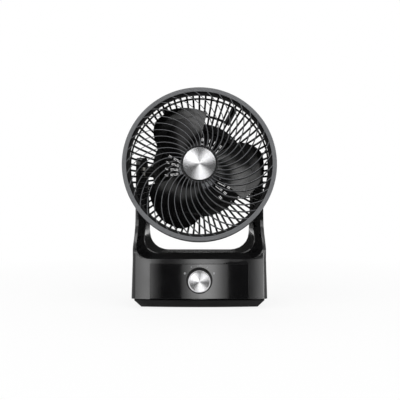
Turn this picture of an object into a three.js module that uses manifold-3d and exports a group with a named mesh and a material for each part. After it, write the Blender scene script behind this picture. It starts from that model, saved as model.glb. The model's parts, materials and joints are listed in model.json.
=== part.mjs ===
// Air circulator fan on a swinging stand: a drum head with a spiral front grille and
// a cupped three-blade impeller tilts between the arms of a yoke, which turns on a base.
// Millimetres, +Z up, the fan looks along -Y, origin on the table under the fan's middle.

import * as THREE from 'three';
import { mergeVertices } from 'three/addons/utils/BufferGeometryUtils.js';
import Module from 'manifold-3d';

const wasm = await Module();
wasm.setup();

// ---- clearances --------------------------------------------------------------------------
const GAP = 0.3; // between two pieces that touch
const RUN = 0.5; // between a turning piece and its bore
const FACET_TOLERANCE = 0.08; // slivers thinner than this are merged after a cut

// ---- the size that drives the widths -----------------------------------------------------
const RIM_RADIUS = 125; // of the front grille

// ---- stand: yoke body --------------------------------------------------------------------
const STAND_HALF_WIDTH = RIM_RADIUS - 14; // at its lower edge
const WAIST_DRAW_IN = 2; // the sides draw in by this much up to the saddle
const STAND_HALF_DEPTH = 95;
const STAND_BOTTOM = 16.3;
const FRONT_BOW_RADIUS = 900; // the front face is slightly convex
const FRONT_CORNER_RADIUS = 7;
const REAR_CORNER_RADIUS = 32;
const WALL = 2.5;
const SADDLE_FRONT = 80.7; // height of the saddle's front edge
const SADDLE_CREASE = 88; // height where the bevel meets the rear shell
const SADDLE_REAR = 83; // the floor falls a little to the back
const BEVEL_DEPTH = 28; // from the front edge back to the parting line
const PARTING_STEP = 1.4; // the rear shell stands this much proud of the bevel
const OPENING_HALF_WIDTH = RIM_RADIUS - 21; // between the arms, at their front edges
const ARM_INNER = RIM_RADIUS - 30; // between the arms, at the parting line
const OPENING_REAR_HALF_WIDTH = RIM_RADIUS - 38;
const DECK_REAR = 66; // height where the rear deck meets the back wall
const ARM_FOOT_Y = 46; // the arms' rear edges come down to here
const ARM_FOOT_HEIGHT = 104;
const CAVITY_TOP = 76;

// ---- tilt pivot and arms -----------------------------------------------------------------
const PIVOT_HEIGHT = 227.7;
const REST_TILT = 4.7 * Math.PI / 180; // the head looks slightly up
const ARM_TOP_RADIUS = 24;
const ARM_SWEEP_START = 84; // the arms' front edges sweep back from here
const ARM_SWEEP_END = 142;
const PIVOT_PIN_RADIUS = 7;
const PIVOT_PIN_REACH = 11; // how far a pin goes into its arm
const BUSH_WALL = 2.2;
const PIVOT_BOSS_RADIUS = 12;
const PIVOT_BOSS_REACH = ARM_INNER - 13; // half the width over both bosses

// ---- control panel and knob --------------------------------------------------------------
const PANEL_HALF_WIDTH = STAND_HALF_WIDTH - 31;
const PANEL_BOTTOM = 17.3;
const PANEL_TOP = 73.4;
const PANEL_THICKNESS = 2.2;
const KNOB_HEIGHT = 47;
const KNOB_RADIUS = 19.6;
const KNOB_LENGTH = 13;
const KNOB_FACE_RADIUS = 18.6;
const KNOB_FACE_THICKNESS = 1.2;
const KNOB_FACE_CROWN = 0.9; // the metal face stands this far out of its cup
const BEZEL_RADIUS = 21.2;
const BEZEL_THICKNESS = 1.4;
const SWITCH_SHAFT_RADIUS = 3;
const SWITCH_SIZE = 30;
const SWITCH_DEPTH = 20;

// ---- base and swing drive ----------------------------------------------------------------
const BASE_INSET = 4.4; // the base plate stands back from the body all round
const BASE_CHAMFER = 10.8;
const BASE_TOP = 15;
const BASE_BOTTOM = 1.2;
const FOOT_RADIUS = 9;
const FOOT_RECESS = 3;
const FOOT_X = STAND_HALF_WIDTH - 39;
const FOOT_Y = 58;
const FLOOR_THICKNESS = 2.4;
const SPINDLE_RADIUS = 15;
const SPINDLE_BORE = 9;
const SPINDLE_FLANGE = 24;
const WASHER_RADIUS = 44;
const WASHER_THICKNESS = 0.8;
const GEAR_MODULE = 2;
const GEAR_TEETH = 30;
const PINION_TEETH = 9;
const GEAR_THICKNESS = 5;
const GEAR_LIFT = 3; // clear height between floor and gear
const SWING_MOTOR_RADIUS = 25;
const SWING_MOTOR_HEIGHT = 16;
const LUG_RADIUS = 5;
const BRACKET_FOOT = 9;
const BRACKET_LENGTH = 44;

// ---- electrics ---------------------------------------------------------------------------
const CAPACITOR_LENGTH = 36;
const CAPACITOR_WIDTH = 18;
const CAPACITOR_HEIGHT = 26;
const CAPACITOR_X = 43 - STAND_HALF_WIDTH;
const CAPACITOR_Y = -3;
const TERMINAL_LENGTH = 30;
const TERMINAL_WIDTH = 14;
const TERMINAL_HEIGHT = 13;
const TERMINAL_X = STAND_HALF_WIDTH - 42;
const TERMINAL_Y = 8;
const TERMINAL_SLOT = 4;

// ---- head: front grille ------------------------------------------------------------------
const RIM_WIDTH = 7;
const RIM_AHEAD = 100; // the rim's front plane lies this far ahead of the pivot
const RIM_THICKNESS = 3;
const SKIRT_WALL = 2.5;
const SKIRT_DEPTH = 28;
const SPIRAL_RIBS = 38;
const SPIRAL_RIB_WIDTH = 1.5;
const SPIRAL_RIB_DEPTH = 4;
const SPIRAL_SWEEP = 42.3 * Math.PI / 180; // a rib turns this far on its way out
const SPIRAL_CURVE = 1.25;
const SPIRAL_START_ANGLE = 3.6 * Math.PI / 180;
const GRILLE_HUB_RADIUS = 31;
const GRILLE_HUB_DEPTH = 6;
const CAP_RADIUS = 27.4;
const CAP_THICKNESS = 2;

// ---- head: rear grille -------------------------------------------------------------------
const REAR_RIBS = 70;
const REAR_RIB_WIDTH = 2.6;
const CAGE_RADIUS = RIM_RADIUS + 1.5;
const CAGE_RING_DEPTH = 5;
const SHROUD_WALL = 2.5; // the ring inside the skirt that guides the air
const SHROUD_FRONT = 9;
const SHROUD_LIP = 8.6; // its front edge reaches this far inwards
const SHOULDER_RADIUS = RIM_RADIUS - 9.3; // middle of the ring at the cage's shoulder
const SHOULDER_DEPTH = 42;
const SHOULDER_RING_WIDTH = 2.8;
const SHOULDER_RING_DEPTH = 3.4;
const MOTOR_RING_DEPTH = 84; // depth of the ring that carries the motor cover
const MOTOR_RING_RADIUS = RIM_RADIUS - 43.5;
const MOTOR_RING_WIDTH = 7.5;
const HANDLE_BAR_ANGLE = 30.7 * Math.PI / 180;
const HANDLE_BAR_WIDTH = 10.5;
const HANDLE_ARC_RADIUS = MOTOR_RING_RADIUS + 11.5;
const HANDLE_ARC_WIDTH = 4;

// ---- head: motor and its cover -----------------------------------------------------------
const COVER_RADIUS = MOTOR_RING_RADIUS - 8.5;
const COVER_BACK = 112.5; // depth of the cover's outer back face
const COVER_WALL = 2.5;
const VENTS = 32;
const VENT_WIDTH = 3.2;
const VENT_ROWS = [[35, 21], [17, 11]]; // how far inside the cover's edge they begin and end
const VENT_FREE_HALF_WIDTH = 38; // no vents over the cover's lowest part
const MOTOR_RADIUS = 35;
const MOTOR_FRONT = 67;
const MOTOR_BACK = 106;
const STATOR_LENGTH = 16;
const STATOR_BORE = 20;
const BELL_WALL = 2.4;
const SHAFT_RADIUS = 4;
const MOTOR_BUSH_RADIUS = 7.5;
const MOTOR_BUSH_LENGTH = 6;
const MOTOR_POST_RADIUS = 4;
const MOTOR_POST_CIRCLE = 27;

// ---- impeller ----------------------------------------------------------------------------
const BLADES = 3;
const HUB_RADIUS = 27;
const HUB_FRONT = 16;
const HUB_BACK = 62;
const HUB_WALL = 2.5;
const TIP_RADIUS = RIM_RADIUS - 16.3;
const BLADE_THICKNESS = 2;
const LEADING_ROOT_DEPTH = 58;
const LEADING_TIP_DEPTH = 52;
const TRAILING_ROOT_DEPTH = 22;
const TRAILING_TIP_DEPTH = 30;
const BLADE_CAMBER = 1.7; // above 1 the blade is flat at its leading edge and steep behind
const SPINNER_RADIUS = 11;

// ---- screws ------------------------------------------------------------------------------
const SCREW_RADIUS = 1.5;
const SCREW_HEAD_RADIUS = 3.2;
const SCREW_HEAD_HEIGHT = 2;

const COLOURS = {
  satinBlack: 0x2b2c2e,
  glossBlack: 0x111214,
  rimGrey: 0x77787a,
  ribBlack: 0x17181a,
  bladeGrey: 0x3a3b3e,
  aluminium: 0xc9cacc,
  steel: 0xa8abb0,
  rubber: 0x141414,
  acetal: 0xe6e2d6,
  copper: 0xb06a3a,
  brass: 0xb59a5a,
};

// ---- geometry helpers --------------------------------------------------------------------

// A closed triangle list with shared vertices, its faces pointing out.
function closedMesh(geometry) {
  const bare = geometry.clone();
  bare.deleteAttribute('normal');
  bare.deleteAttribute('uv');
  const merged = mergeVertices(bare, 1e-4);
  const points = merged.getAttribute('position').array;
  const corners = merged.index.array;
  const kept = [];
  let volume = 0;
  for (let i = 0; i < corners.length; i += 3) {
    const [a, b, c] = [corners[i], corners[i + 1], corners[i + 2]];
    if (a === b || b === c || a === c) continue;
    kept.push(a, b, c);
    const p = new THREE.Vector3().fromArray(points, 3 * a);
    const q = new THREE.Vector3().fromArray(points, 3 * b);
    const r = new THREE.Vector3().fromArray(points, 3 * c);
    volume += p.dot(q.cross(r));
  }
  if (volume < 0) kept.reverse();
  return { points: new Float32Array(points), corners: new Uint32Array(kept) };
}

// The same mesh as a geometry of its own.
function outward(geometry) {
  const { points, corners } = closedMesh(geometry);
  const clean = new THREE.BufferGeometry();
  clean.setAttribute('position', new THREE.BufferAttribute(points, 3));
  clean.setIndex(new THREE.BufferAttribute(corners, 1));
  return clean;
}

function toSolid(geometry) {
  const { points, corners } = closedMesh(geometry);
  return new wasm.Manifold(new wasm.Mesh({ numProp: 3, vertProperties: points, triVerts: corners }));
}

function toGeometry(solid) {
  const mesh = solid.simplify(FACET_TOLERANCE).getMesh();
  const geometry = new THREE.BufferGeometry();
  geometry.setAttribute('position', new THREE.BufferAttribute(mesh.vertProperties, 3));
  geometry.setIndex(new THREE.BufferAttribute(mesh.triVerts, 1));
  return geometry;
}

function join(...geometries) {
  return toGeometry(wasm.Manifold.union(geometries.map(toSolid)));
}

function cut(geometry, ...tools) {
  return toGeometry(toSolid(geometry).subtract(wasm.Manifold.union(tools.map(toSolid))));
}

function common(geometry, other) {
  return toGeometry(toSolid(geometry).intersect(toSolid(other)));
}

// Skin over closed sections of equally many points, with flat or folded ends.
function loft(sections) {
  const count = sections[0].length;
  const points = sections.flat();
  const corners = [];
  for (let s = 0; s + 1 < sections.length; s++) {
    for (let i = 0; i < count; i++) {
      const a = s * count + i;
      const b = s * count + (i + 1) % count;
      corners.push(a, b, a + count, b, b + count, a + count);
    }
  }
  const last = (sections.length - 1) * count;
  for (const [a, b, c] of capTriangles(sections[0])) corners.push(c, b, a);
  for (const [a, b, c] of capTriangles(sections[sections.length - 1])) {
    corners.push(last + a, last + b, last + c);
  }
  const geometry = new THREE.BufferGeometry().setFromPoints(points);
  geometry.setIndex(corners);
  return geometry;
}

// Triangles that close a section, turned the way its own points run.
function capTriangles(section) {
  const normal = new THREE.Vector3();
  section.forEach((p, i) => {
    const q = section[(i + 1) % section.length];
    normal.add(new THREE.Vector3().crossVectors(p, q));
  });
  const size = normal.toArray().map(Math.abs);
  const flat = size.indexOf(Math.max(...size));
  const [u, v] = [['y', 'z'], ['z', 'x'], ['x', 'y']][flat];
  const outline = section.map((p) => new THREE.Vector2(p[u], p[v]));
  const reversed = THREE.ShapeUtils.isClockWise(outline);
  const faces = THREE.ShapeUtils.triangulateShape(outline, []);
  return faces.map(([a, b, c]) => {
    const [p, q, r] = [outline[a], outline[b], outline[c]];
    const turn = (q.x - p.x) * (r.y - p.y) - (q.y - p.y) * (r.x - p.x);
    return (turn < 0) === reversed ? [a, b, c] : [c, b, a];
  });
}

// Body of revolution about Y from [radius, height] pairs.
function turned(profile, segments = 16) {
  const points = profile.map(([radius, height]) => new THREE.Vector2(radius, height));
  return new THREE.LatheGeometry(points, segments);
}

// Ring or tube about Y, between two radii and two heights.
function ring(inner, outer, low, high, segments = 16) {
  return turned([[inner, low], [outer, low], [outer, high], [inner, high], [inner, low]], segments);
}

// Plain cylinder about Y.
function rod(radius, low, high, segments = 12) {
  return turned([[0, low], [radius, low], [radius, high], [0, high]], segments);
}

// The same about Z, X or along -Y, for pieces that stand or lie across.
const upright = (geometry) => geometry.rotateX(Math.PI / 2);
const sideways = (geometry) => geometry.rotateZ(-Math.PI / 2);

function box(x0, x1, y0, y1, z0, z1) {
  const geometry = new THREE.BoxGeometry(x1 - x0, y1 - y0, z1 - z0);
  return geometry.translate((x0 + x1) / 2, (y0 + y1) / 2, (z0 + z1) / 2);
}

// Flat outline of [u, v] pairs, pulled along +Z.
function prism(outline, length) {
  const shape = new THREE.Shape(outline.map(([u, v]) => new THREE.Vector2(u, v)));
  return new THREE.ExtrudeGeometry(shape, { depth: length, bevelEnabled: false });
}

function arcPoints(cx, cy, radius, from, to, steps) {
  return Array.from({ length: steps + 1 }, (_, i) => {
    const angle = from + (to - from) * i / steps;
    return [cx + radius * Math.cos(angle), cy + radius * Math.sin(angle)];
  });
}

function smoothstep(t) {
  const s = Math.min(1, Math.max(0, t));
  return s * s * (3 - 2 * s);
}

// ---- scene graph helpers -----------------------------------------------------------------
const fan = new THREE.Group();
const base = new THREE.Group();
const stand = new THREE.Group();
const head = new THREE.Group();
fan.add(base, stand, head);
head.position.z = PIVOT_HEIGHT;
head.rotation.x = -REST_TILT;

function add(parent, name, geometry, colour, roughness = 0.5, metalness = 0) {
  const material = new THREE.MeshStandardMaterial({ color: colour, roughness, metalness });
  const mesh = new THREE.Mesh(outward(geometry), material);
  mesh.name = name;
  parent.add(mesh);
  return mesh;
}

// In the head a depth counts backwards from the rim's front plane, along the axis.
const depth = (d) => d - RIM_AHEAD;

// A pan-head screw whose head lies at the origin and whose shank runs towards -Y.
function screw(length) {
  return turned([[0, -length], [SCREW_RADIUS, -length], [SCREW_RADIUS, 0], [SCREW_HEAD_RADIUS, 0],
    [SCREW_HEAD_RADIUS * 0.8, SCREW_HEAD_HEIGHT], [0, SCREW_HEAD_HEIGHT]], 8);
}

// Hole for such a screw: a clear shank hole and, above it, room for the head.
function screwHole(length, above) {
  const shank = SCREW_RADIUS + GAP;
  const wide = SCREW_HEAD_RADIUS + GAP;
  return turned([[0, -length - 1], [shank, -length - 1], [shank, -GAP], [wide, -GAP],
    [wide, above], [0, above]], 8);
}

// ---- stand shells ------------------------------------------------------------------------

// Front face of the body seen from above: a shallow arc.
const frontY = (x) => -STAND_HALF_DEPTH + x * x / (2 * FRONT_BOW_RADIUS);

// How far the arms' front edges lie behind that face at a height.
const PIVOT_RECESS = -ARM_TOP_RADIUS - frontY(OPENING_HALF_WIDTH);
const SWEEP_SHARE = 0.79;
function armRecess(z) {
  const swoosh = smoothstep((z - ARM_SWEEP_START) / (ARM_SWEEP_END - ARM_SWEEP_START));
  const rise = Math.max(0, (z - ARM_SWEEP_END) / (PIVOT_HEIGHT - ARM_SWEEP_END));
  return PIVOT_RECESS * (SWEEP_SHARE * swoosh + (1 - SWEEP_SHARE) * Math.min(1, rise));
}

const BODY_LEVELS = [
  [STAND_BOTTOM, 0],
  [SADDLE_FRONT, WAIST_DRAW_IN],
  [ARM_SWEEP_END, WAIST_DRAW_IN * 0.8],
  [PIVOT_HEIGHT + ARM_TOP_RADIUS + 5, WAIST_DRAW_IN * 0.5],
];

// The body's outline from above, `inset` inside the outer faces.
function planOutline(inset) {
  const half = STAND_HALF_WIDTH - inset;
  const corner = Math.max(1, FRONT_CORNER_RADIUS - inset);
  const rear = Math.max(1, REAR_CORNER_RADIUS - inset);
  const back = STAND_HALF_DEPTH - inset;
  const front = (x) => frontY(x) + inset;
  const straight = half - corner;
  const arc = Array.from({ length: 9 }, (_, i) => straight * (i / 4 - 1));
  const cornerY = front(straight) + corner;
  return [
    ...arc.slice(0, -1).map((x) => [x, front(x)]),
    ...arcPoints(straight, cornerY, corner, -Math.PI / 2, 0, 4),
    ...arcPoints(half - rear, back - rear, rear, 0, Math.PI / 2, 6),
    ...arcPoints(rear - half, back - rear, rear, Math.PI / 2, Math.PI, 6),
    ...arcPoints(-straight, cornerY, corner, Math.PI, 1.5 * Math.PI, 4).slice(0, -1),
  ];
}

// The outline carried through heights, drawn in by each level's own inset.
function planLoft(levels) {
  return loft(levels.map(([z, inset]) => (
    planOutline(inset).map(([x, y]) => new THREE.Vector3(x, y, z))
  )));
}

// Side outline of body and arms at one x: front edge, round arm top, rear edge, deck, back wall.
function sideSection(x) {
  const heights = Array.from({ length: 15 }, (_, i) => (
    ARM_SWEEP_START + (PIVOT_HEIGHT - ARM_SWEEP_START) * (i / 14) ** 1.3
  ));
  const outline = [
    [frontY(x) - 5, STAND_BOTTOM],
    [frontY(x) - 5, ARM_SWEEP_START - 2],
    ...heights.map((z) => [frontY(x) + armRecess(z), z]),
    ...arcPoints(0, PIVOT_HEIGHT, ARM_TOP_RADIUS, Math.PI * 0.97, 0, 12),
    [ARM_FOOT_Y, ARM_FOOT_HEIGHT],
    [ARM_FOOT_Y + 6, ARM_FOOT_HEIGHT - 13],
    [ARM_FOOT_Y + 16, SADDLE_CREASE - 3],
    [STAND_HALF_DEPTH - 4, DECK_REAR],
    [STAND_HALF_DEPTH, DECK_REAR - 12],
    [STAND_HALF_DEPTH + 5, STAND_BOTTOM],
  ];
  return outline.map(([y, z]) => new THREE.Vector3(x, y, z));
}

const SECTION_XS = [-1, -0.93, -0.84, -0.5, 0, 0.5, 0.84, 0.93, 1]
  .map((s) => s * (STAND_HALF_WIDTH + 4));

// U-shaped contour between the arms; each of its points lies `back` behind the front edge there.
function openingContour(half, bottom, radius, yAt) {
  const top = PIVOT_HEIGHT + ARM_TOP_RADIUS + 20;
  const steps = 12;
  const side = Array.from({ length: steps }, (_, i) => top + (bottom + radius - top) * i / steps);
  const right = [
    ...side.map((z) => [half, z]),
    ...arcPoints(half - radius, bottom + radius, radius, 0, -Math.PI / 2, 6),
  ];
  const left = right.map(([x, z]) => [-x, z]).reverse();
  const middle = [0.6, 0.2, -0.2, -0.6].map((s) => [s * (half - radius), bottom]);
  return [...right, ...middle, ...left].map(([x, z]) => new THREE.Vector3(x, yAt(x, z), z));
}

const edgeBehind = (back) => (x, z) => frontY(x) + armRecess(z) + back;
const FRONT_CONTOUR = [OPENING_HALF_WIDTH, SADDLE_FRONT, 22];
const CREASE_CONTOUR = [ARM_INNER, SADDLE_CREASE, 26];
const STEP_CONTOUR = [ARM_INNER - PARTING_STEP, SADDLE_CREASE + PARTING_STEP, 26];
const REAR_CONTOUR = [OPENING_REAR_HALF_WIDTH, SADDLE_REAR, 34];

const ahead = () => -STAND_HALF_DEPTH - 40;
const behind = () => STAND_HALF_DEPTH + 20;

const frontOpening = () => loft([
  openingContour(...FRONT_CONTOUR, ahead),
  openingContour(...FRONT_CONTOUR, edgeBehind(0)),
  openingContour(...CREASE_CONTOUR, edgeBehind(BEVEL_DEPTH)),
  openingContour(...CREASE_CONTOUR, behind),
]);

const rearOpening = () => loft([
  openingContour(...STEP_CONTOUR, ahead),
  openingContour(...STEP_CONTOUR, edgeBehind(BEVEL_DEPTH + GAP)),
  openingContour(...REAR_CONTOUR, behind),
]);

// Everything in front of the parting surface, `offset` behind the arms' front edges.
function frontZone(offset) {
  const top = PIVOT_HEIGHT + ARM_TOP_RADIUS + 30;
  return loft(SECTION_XS.map((x) => x * 1.2).map((x) => {
    const heights = Array.from({ length: 25 }, (_, i) => top * (1 - i / 24));
    const outline = [
      [-STAND_HALF_DEPTH - 60, 0],
      [-STAND_HALF_DEPTH - 60, top],
      ...heights.map((z) => [frontY(x) + armRecess(z) + offset, z]),
    ];
    return outline.map(([y, z]) => new THREE.Vector3(x, y, z));
  }));
}

// The cavity's walls follow the outer faces, which draw in towards the saddle.
const cavityInset = (z) => (
  WALL + WAIST_DRAW_IN * (z - STAND_BOTTOM) / (SADDLE_FRONT - STAND_BOTTOM)
);

// A full wall stands behind the recess of the control panel.
const CAVITY_FRONT = -STAND_HALF_DEPTH + PANEL_THICKNESS + GAP + WALL;

function bodyCavity() {
  const half = STAND_HALF_WIDTH + 5;
  const reach = STAND_HALF_DEPTH - WALL;
  const side = prism([[CAVITY_FRONT, 0], [CAVITY_FRONT, CAVITY_TOP], [ARM_FOOT_Y + 2, CAVITY_TOP],
    [ARM_FOOT_Y + 10, CAVITY_TOP - 1],
    [reach - 6, DECK_REAR - 3 * WALL], [reach, DECK_REAR - 8 * WALL], [reach, 0]], 2 * half);
  side.rotateX(Math.PI / 2).rotateZ(Math.PI / 2).translate(-half, 0, 0);
  const plan = planLoft([STAND_BOTTOM - 5, CAVITY_TOP + 5].map((z) => [z, cavityInset(z)]));
  return common(side, plan);
}

// Square posts in the body's corners take the floor's screws.
const POST_X = STAND_HALF_WIDTH - WALL - 10;
const POST_FRONT_Y = -STAND_HALF_DEPTH + WALL + 13;
const POST_REAR_Y = STAND_HALF_DEPTH - WALL - 25;
const POST_HALF = 6;
const POST_TOP = CAVITY_TOP + 1;
const FLOOR_BOTTOM = STAND_BOTTOM + GAP;
const FLOOR_TOP = FLOOR_BOTTOM + FLOOR_THICKNESS;
const FLOOR_SCREW_LENGTH = 12;
const FLOOR_SCREW_HEAD_Z = FLOOR_BOTTOM + SCREW_HEAD_HEIGHT * 0.8;

function cornerPost(x, y) {
  const outer = x + Math.sign(x) * (STAND_HALF_WIDTH - Math.abs(x) - WAIST_DRAW_IN - 1);
  const low = FLOOR_TOP + GAP;
  const inner = x - Math.sign(x) * POST_HALF;
  return box(Math.min(inner, outer), Math.max(inner, outer), y - POST_HALF, y + POST_HALF, low,
    POST_TOP);
}

function floorScrewTool(x, y, make) {
  return make.rotateX(-Math.PI / 2).translate(x, y, FLOOR_SCREW_HEAD_Z);
}

const FLOOR_SCREWS = [
  [POST_X, POST_FRONT_Y], [-POST_X, POST_FRONT_Y], [POST_X, POST_REAR_Y], [-POST_X, POST_REAR_Y],
];

// The shells clamp the pivot bushes, and two screws in deep holes pull the arms together.
const ARM_MIDDLE = (ARM_INNER + STAND_HALF_WIDTH - WAIST_DRAW_IN) / 2;
const ARM_SCREW_Z = 165;
const ARM_SCREW_LENGTH = 18;
const ARM_SCREW_HEAD_Y = frontY(ARM_MIDDLE) + armRecess(ARM_SCREW_Z) + BEVEL_DEPTH + 8;

const bushHole = (side) => sideways(rod(PIVOT_PIN_RADIUS + RUN + BUSH_WALL + GAP, 0,
  PIVOT_PIN_REACH + 2 * GAP + 30)).translate(side > 0 ? ARM_INNER - 30 + GAP
  : -ARM_INNER - PIVOT_PIN_REACH - GAP * 3, 0, PIVOT_HEIGHT);

const armScrewHole = (side) => screwHole(ARM_SCREW_LENGTH, 60)
  .translate(side * ARM_MIDDLE, ARM_SCREW_HEAD_Y, ARM_SCREW_Z);

const panelRecess = () => panelSolid(GAP, PANEL_THICKNESS + GAP, -10);

// Strip of the bowed front face, `grow` wider and `deep` thick, from `front` before the face.
function panelSolid(grow, deep, front) {
  const half = PANEL_HALF_WIDTH + grow;
  const xs = Array.from({ length: 13 }, (_, i) => half * (i / 6 - 1));
  const outline = [
    ...xs.map((x) => [x, frontY(x) + front]),
    ...xs.reverse().map((x) => [x, frontY(x) + deep]),
  ];
  const low = PANEL_BOTTOM - (grow > 0 ? 10 : 0);
  return prism(outline, PANEL_TOP + grow - low).translate(0, 0, low);
}

const shaftHole = (radius) => rod(radius, -40, 0).translate(0, -STAND_HALF_DEPTH + 30, KNOB_HEIGHT);

function standBlock() {
  return common(planLoft(BODY_LEVELS), loft(SECTION_XS.map(sideSection)));
}

function makeShells() {
  const block = cut(standBlock(), bodyCavity());
  const front = cut(common(block, frontZone(BEVEL_DEPTH)), frontOpening(), panelRecess());
  const frontPosts = FLOOR_SCREWS.slice(0, 2).map(([x, y]) => cornerPost(x, y));
  const frontShell = cut(join(front, ...frontPosts), shaftHole(SWITCH_SHAFT_RADIUS + 2),
    bushHole(1), bushHole(-1), armScrewHole(1), armScrewHole(-1),
    ...FLOOR_SCREWS.slice(0, 2).map(([x, y]) => floorScrewTool(x, y, screwHole(FLOOR_SCREW_LENGTH, 9))));
  add(stand, 'front_shell', frontShell, COLOURS.satinBlack, 0.42);

  const rear = cut(block, frontZone(BEVEL_DEPTH + GAP), rearOpening());
  const rearPosts = FLOOR_SCREWS.slice(2).map(([x, y]) => cornerPost(x, y));
  const rearShell = cut(join(rear, ...rearPosts), bushHole(1), bushHole(-1),
    armScrewHole(1), armScrewHole(-1), glandHole(),
    ...FLOOR_SCREWS.slice(2).map(([x, y]) => floorScrewTool(x, y, screwHole(FLOOR_SCREW_LENGTH, 9))));
  add(stand, 'rear_shell', rearShell, COLOURS.satinBlack, 0.42);
  for (const side of [1, -1]) {
    const name = side > 0 ? 'arm_screw_right' : 'arm_screw_left';
    add(stand, name, screw(ARM_SCREW_LENGTH), COLOURS.steel, 0.35, 1)
      .position.set(side * ARM_MIDDLE, ARM_SCREW_HEAD_Y, ARM_SCREW_Z);
  }
}

// ---- stand: panel, knob and switch -------------------------------------------------------
const PANEL_FACE = -STAND_HALF_DEPTH;

function makePanel() {
  const hole = rod(SWITCH_SHAFT_RADIUS + 1, -40, 0).translate(0, PANEL_FACE + 20, KNOB_HEIGHT);
  add(stand, 'control_panel', cut(panelSolid(0, PANEL_THICKNESS, 0), hole), COLOURS.glossBlack, 0.12);

  const bezel = ring(SWITCH_SHAFT_RADIUS + 1, BEZEL_RADIUS, -BEZEL_THICKNESS, 0, 24);
  add(stand, 'dial_bezel', bezel, COLOURS.ribBlack, 0.3)
    .position.set(0, PANEL_FACE - GAP, KNOB_HEIGHT);

  const half = SWITCH_SIZE / 2;
  const front = CAVITY_FRONT + GAP;
  const neck = rod(SWITCH_SHAFT_RADIUS + 1.6, front - 1.6, front + 2);
  const body = join(box(-half, half, front, front + SWITCH_DEPTH, -half, half), neck,
    box(-half - 6, half + 6, front, front + 1.5, -5, 5));
  const bore = rod(SWITCH_SHAFT_RADIUS + RUN, front - 3, front + SWITCH_DEPTH * 0.6, 24);
  add(stand, 'rotary_switch', cut(body, bore), COLOURS.acetal, 0.5)
    .position.set(0, 0, KNOB_HEIGHT);
}

const knob = new THREE.Group();
stand.add(knob);
knob.position.set(0, PANEL_FACE - GAP - BEZEL_THICKNESS - RUN, KNOB_HEIGHT);

function makeKnob() {
  const rim = KNOB_RADIUS;
  const front = -KNOB_LENGTH;
  const cup = turned([[0, 0], [rim, 0], [rim, front + 1.5], [rim - 0.4, front],
    [KNOB_FACE_RADIUS + GAP, front], [KNOB_FACE_RADIUS + GAP, front + KNOB_FACE_THICKNESS],
    [0, front + KNOB_FACE_THICKNESS]], 24);
  const bore = rod(SWITCH_SHAFT_RADIUS + GAP, front * 0.5, 5);
  add(knob, 'selector_knob', cut(cup, bore), COLOURS.ribBlack, 0.35);

  const back = front + KNOB_FACE_THICKNESS - GAP;
  const crown = front - KNOB_FACE_CROWN;
  const face = turned([[0, back], [KNOB_FACE_RADIUS, back], [KNOB_FACE_RADIUS, crown + 0.6],
    [KNOB_FACE_RADIUS - 1, crown], [0, crown]], 24);
  const pointer = box(-0.8, 0.8, front - 3, front - 0.4, KNOB_FACE_RADIUS * 0.42,
    KNOB_FACE_RADIUS * 0.85);
  add(knob, 'knob_face', cut(face, pointer), COLOURS.aluminium, 0.25, 1);

  const shaftEnd = CAVITY_FRONT + GAP + SWITCH_DEPTH * 0.5 - knob.position.y;
  add(knob, 'switch_shaft', rod(SWITCH_SHAFT_RADIUS, front * 0.5 + GAP, shaftEnd, 16),
    COLOURS.steel, 0.3, 1);
}

// ---- stand: floor, swing drive, electrics ------------------------------------------------
const GEAR_LOW = FLOOR_TOP + GEAR_LIFT;
const GEAR_HIGH = GEAR_LOW + GEAR_THICKNESS;
const GEAR_PITCH_RADIUS = GEAR_MODULE * GEAR_TEETH / 2;
const PINION_PITCH_RADIUS = GEAR_MODULE * PINION_TEETH / 2;
const PINION_Y = GEAR_PITCH_RADIUS + PINION_PITCH_RADIUS;
const PINION_SHAFT_RADIUS = 3;
const BRACKET_LOW = GEAR_HIGH + 2.5;
const BRACKET_THICKNESS = 1.6;
const BRACKET_HALF = GEAR_PITCH_RADIUS + GEAR_MODULE + 5;

// Spur gear about Z between two heights, with straight-flanked teeth.
function spurGear(teeth, bore, low, high, phase) {
  const pitch = GEAR_MODULE * teeth / 2;
  const tip = pitch + 0.9 * GEAR_MODULE;
  const root = pitch - 1.25 * GEAR_MODULE;
  const step = 2 * Math.PI / teeth;
  const flank = [[root, -0.3], [tip, -0.11], [tip, 0.11], [root, 0.3]];
  const outline = [];
  for (let i = 0; i < teeth; i++) {
    for (const [radius, share] of flank) {
      const angle = phase + step * (i + share);
      outline.push([radius * Math.cos(angle), radius * Math.sin(angle)]);
    }
  }
  const blank = prism(outline, high - low).translate(0, 0, low);
  return cut(blank, upright(rod(bore, low - 5, high + 5, 20)));
}

function makeFloor() {
  const whole = planLoft([FLOOR_BOTTOM, FLOOR_TOP].map((z) => [z, cavityInset(z) + GAP]));
  const plate = common(whole, box(-STAND_HALF_WIDTH, STAND_HALF_WIDTH, CAVITY_FRONT + GAP,
    STAND_HALF_DEPTH, 0, CAVITY_TOP));
  const hole = upright(rod(SPINDLE_RADIUS + RUN, -5, 60, 20));
  const holes = FLOOR_SCREWS.map(([x, y]) => floorScrewTool(x, y, screwHole(FLOOR_SCREW_LENGTH, 9)));
  add(stand, 'stand_floor', cut(plate, hole, ...holes), COLOURS.ribBlack, 0.6);
  FLOOR_SCREWS.forEach(([x, y], i) => {
    const mesh = add(stand, `floor_screw_${i + 1}`, screw(FLOOR_SCREW_LENGTH), COLOURS.steel, 0.35, 1);
    mesh.position.set(x, y, FLOOR_SCREW_HEAD_Z);
    mesh.rotation.x = -Math.PI / 2;
  });
}

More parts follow.
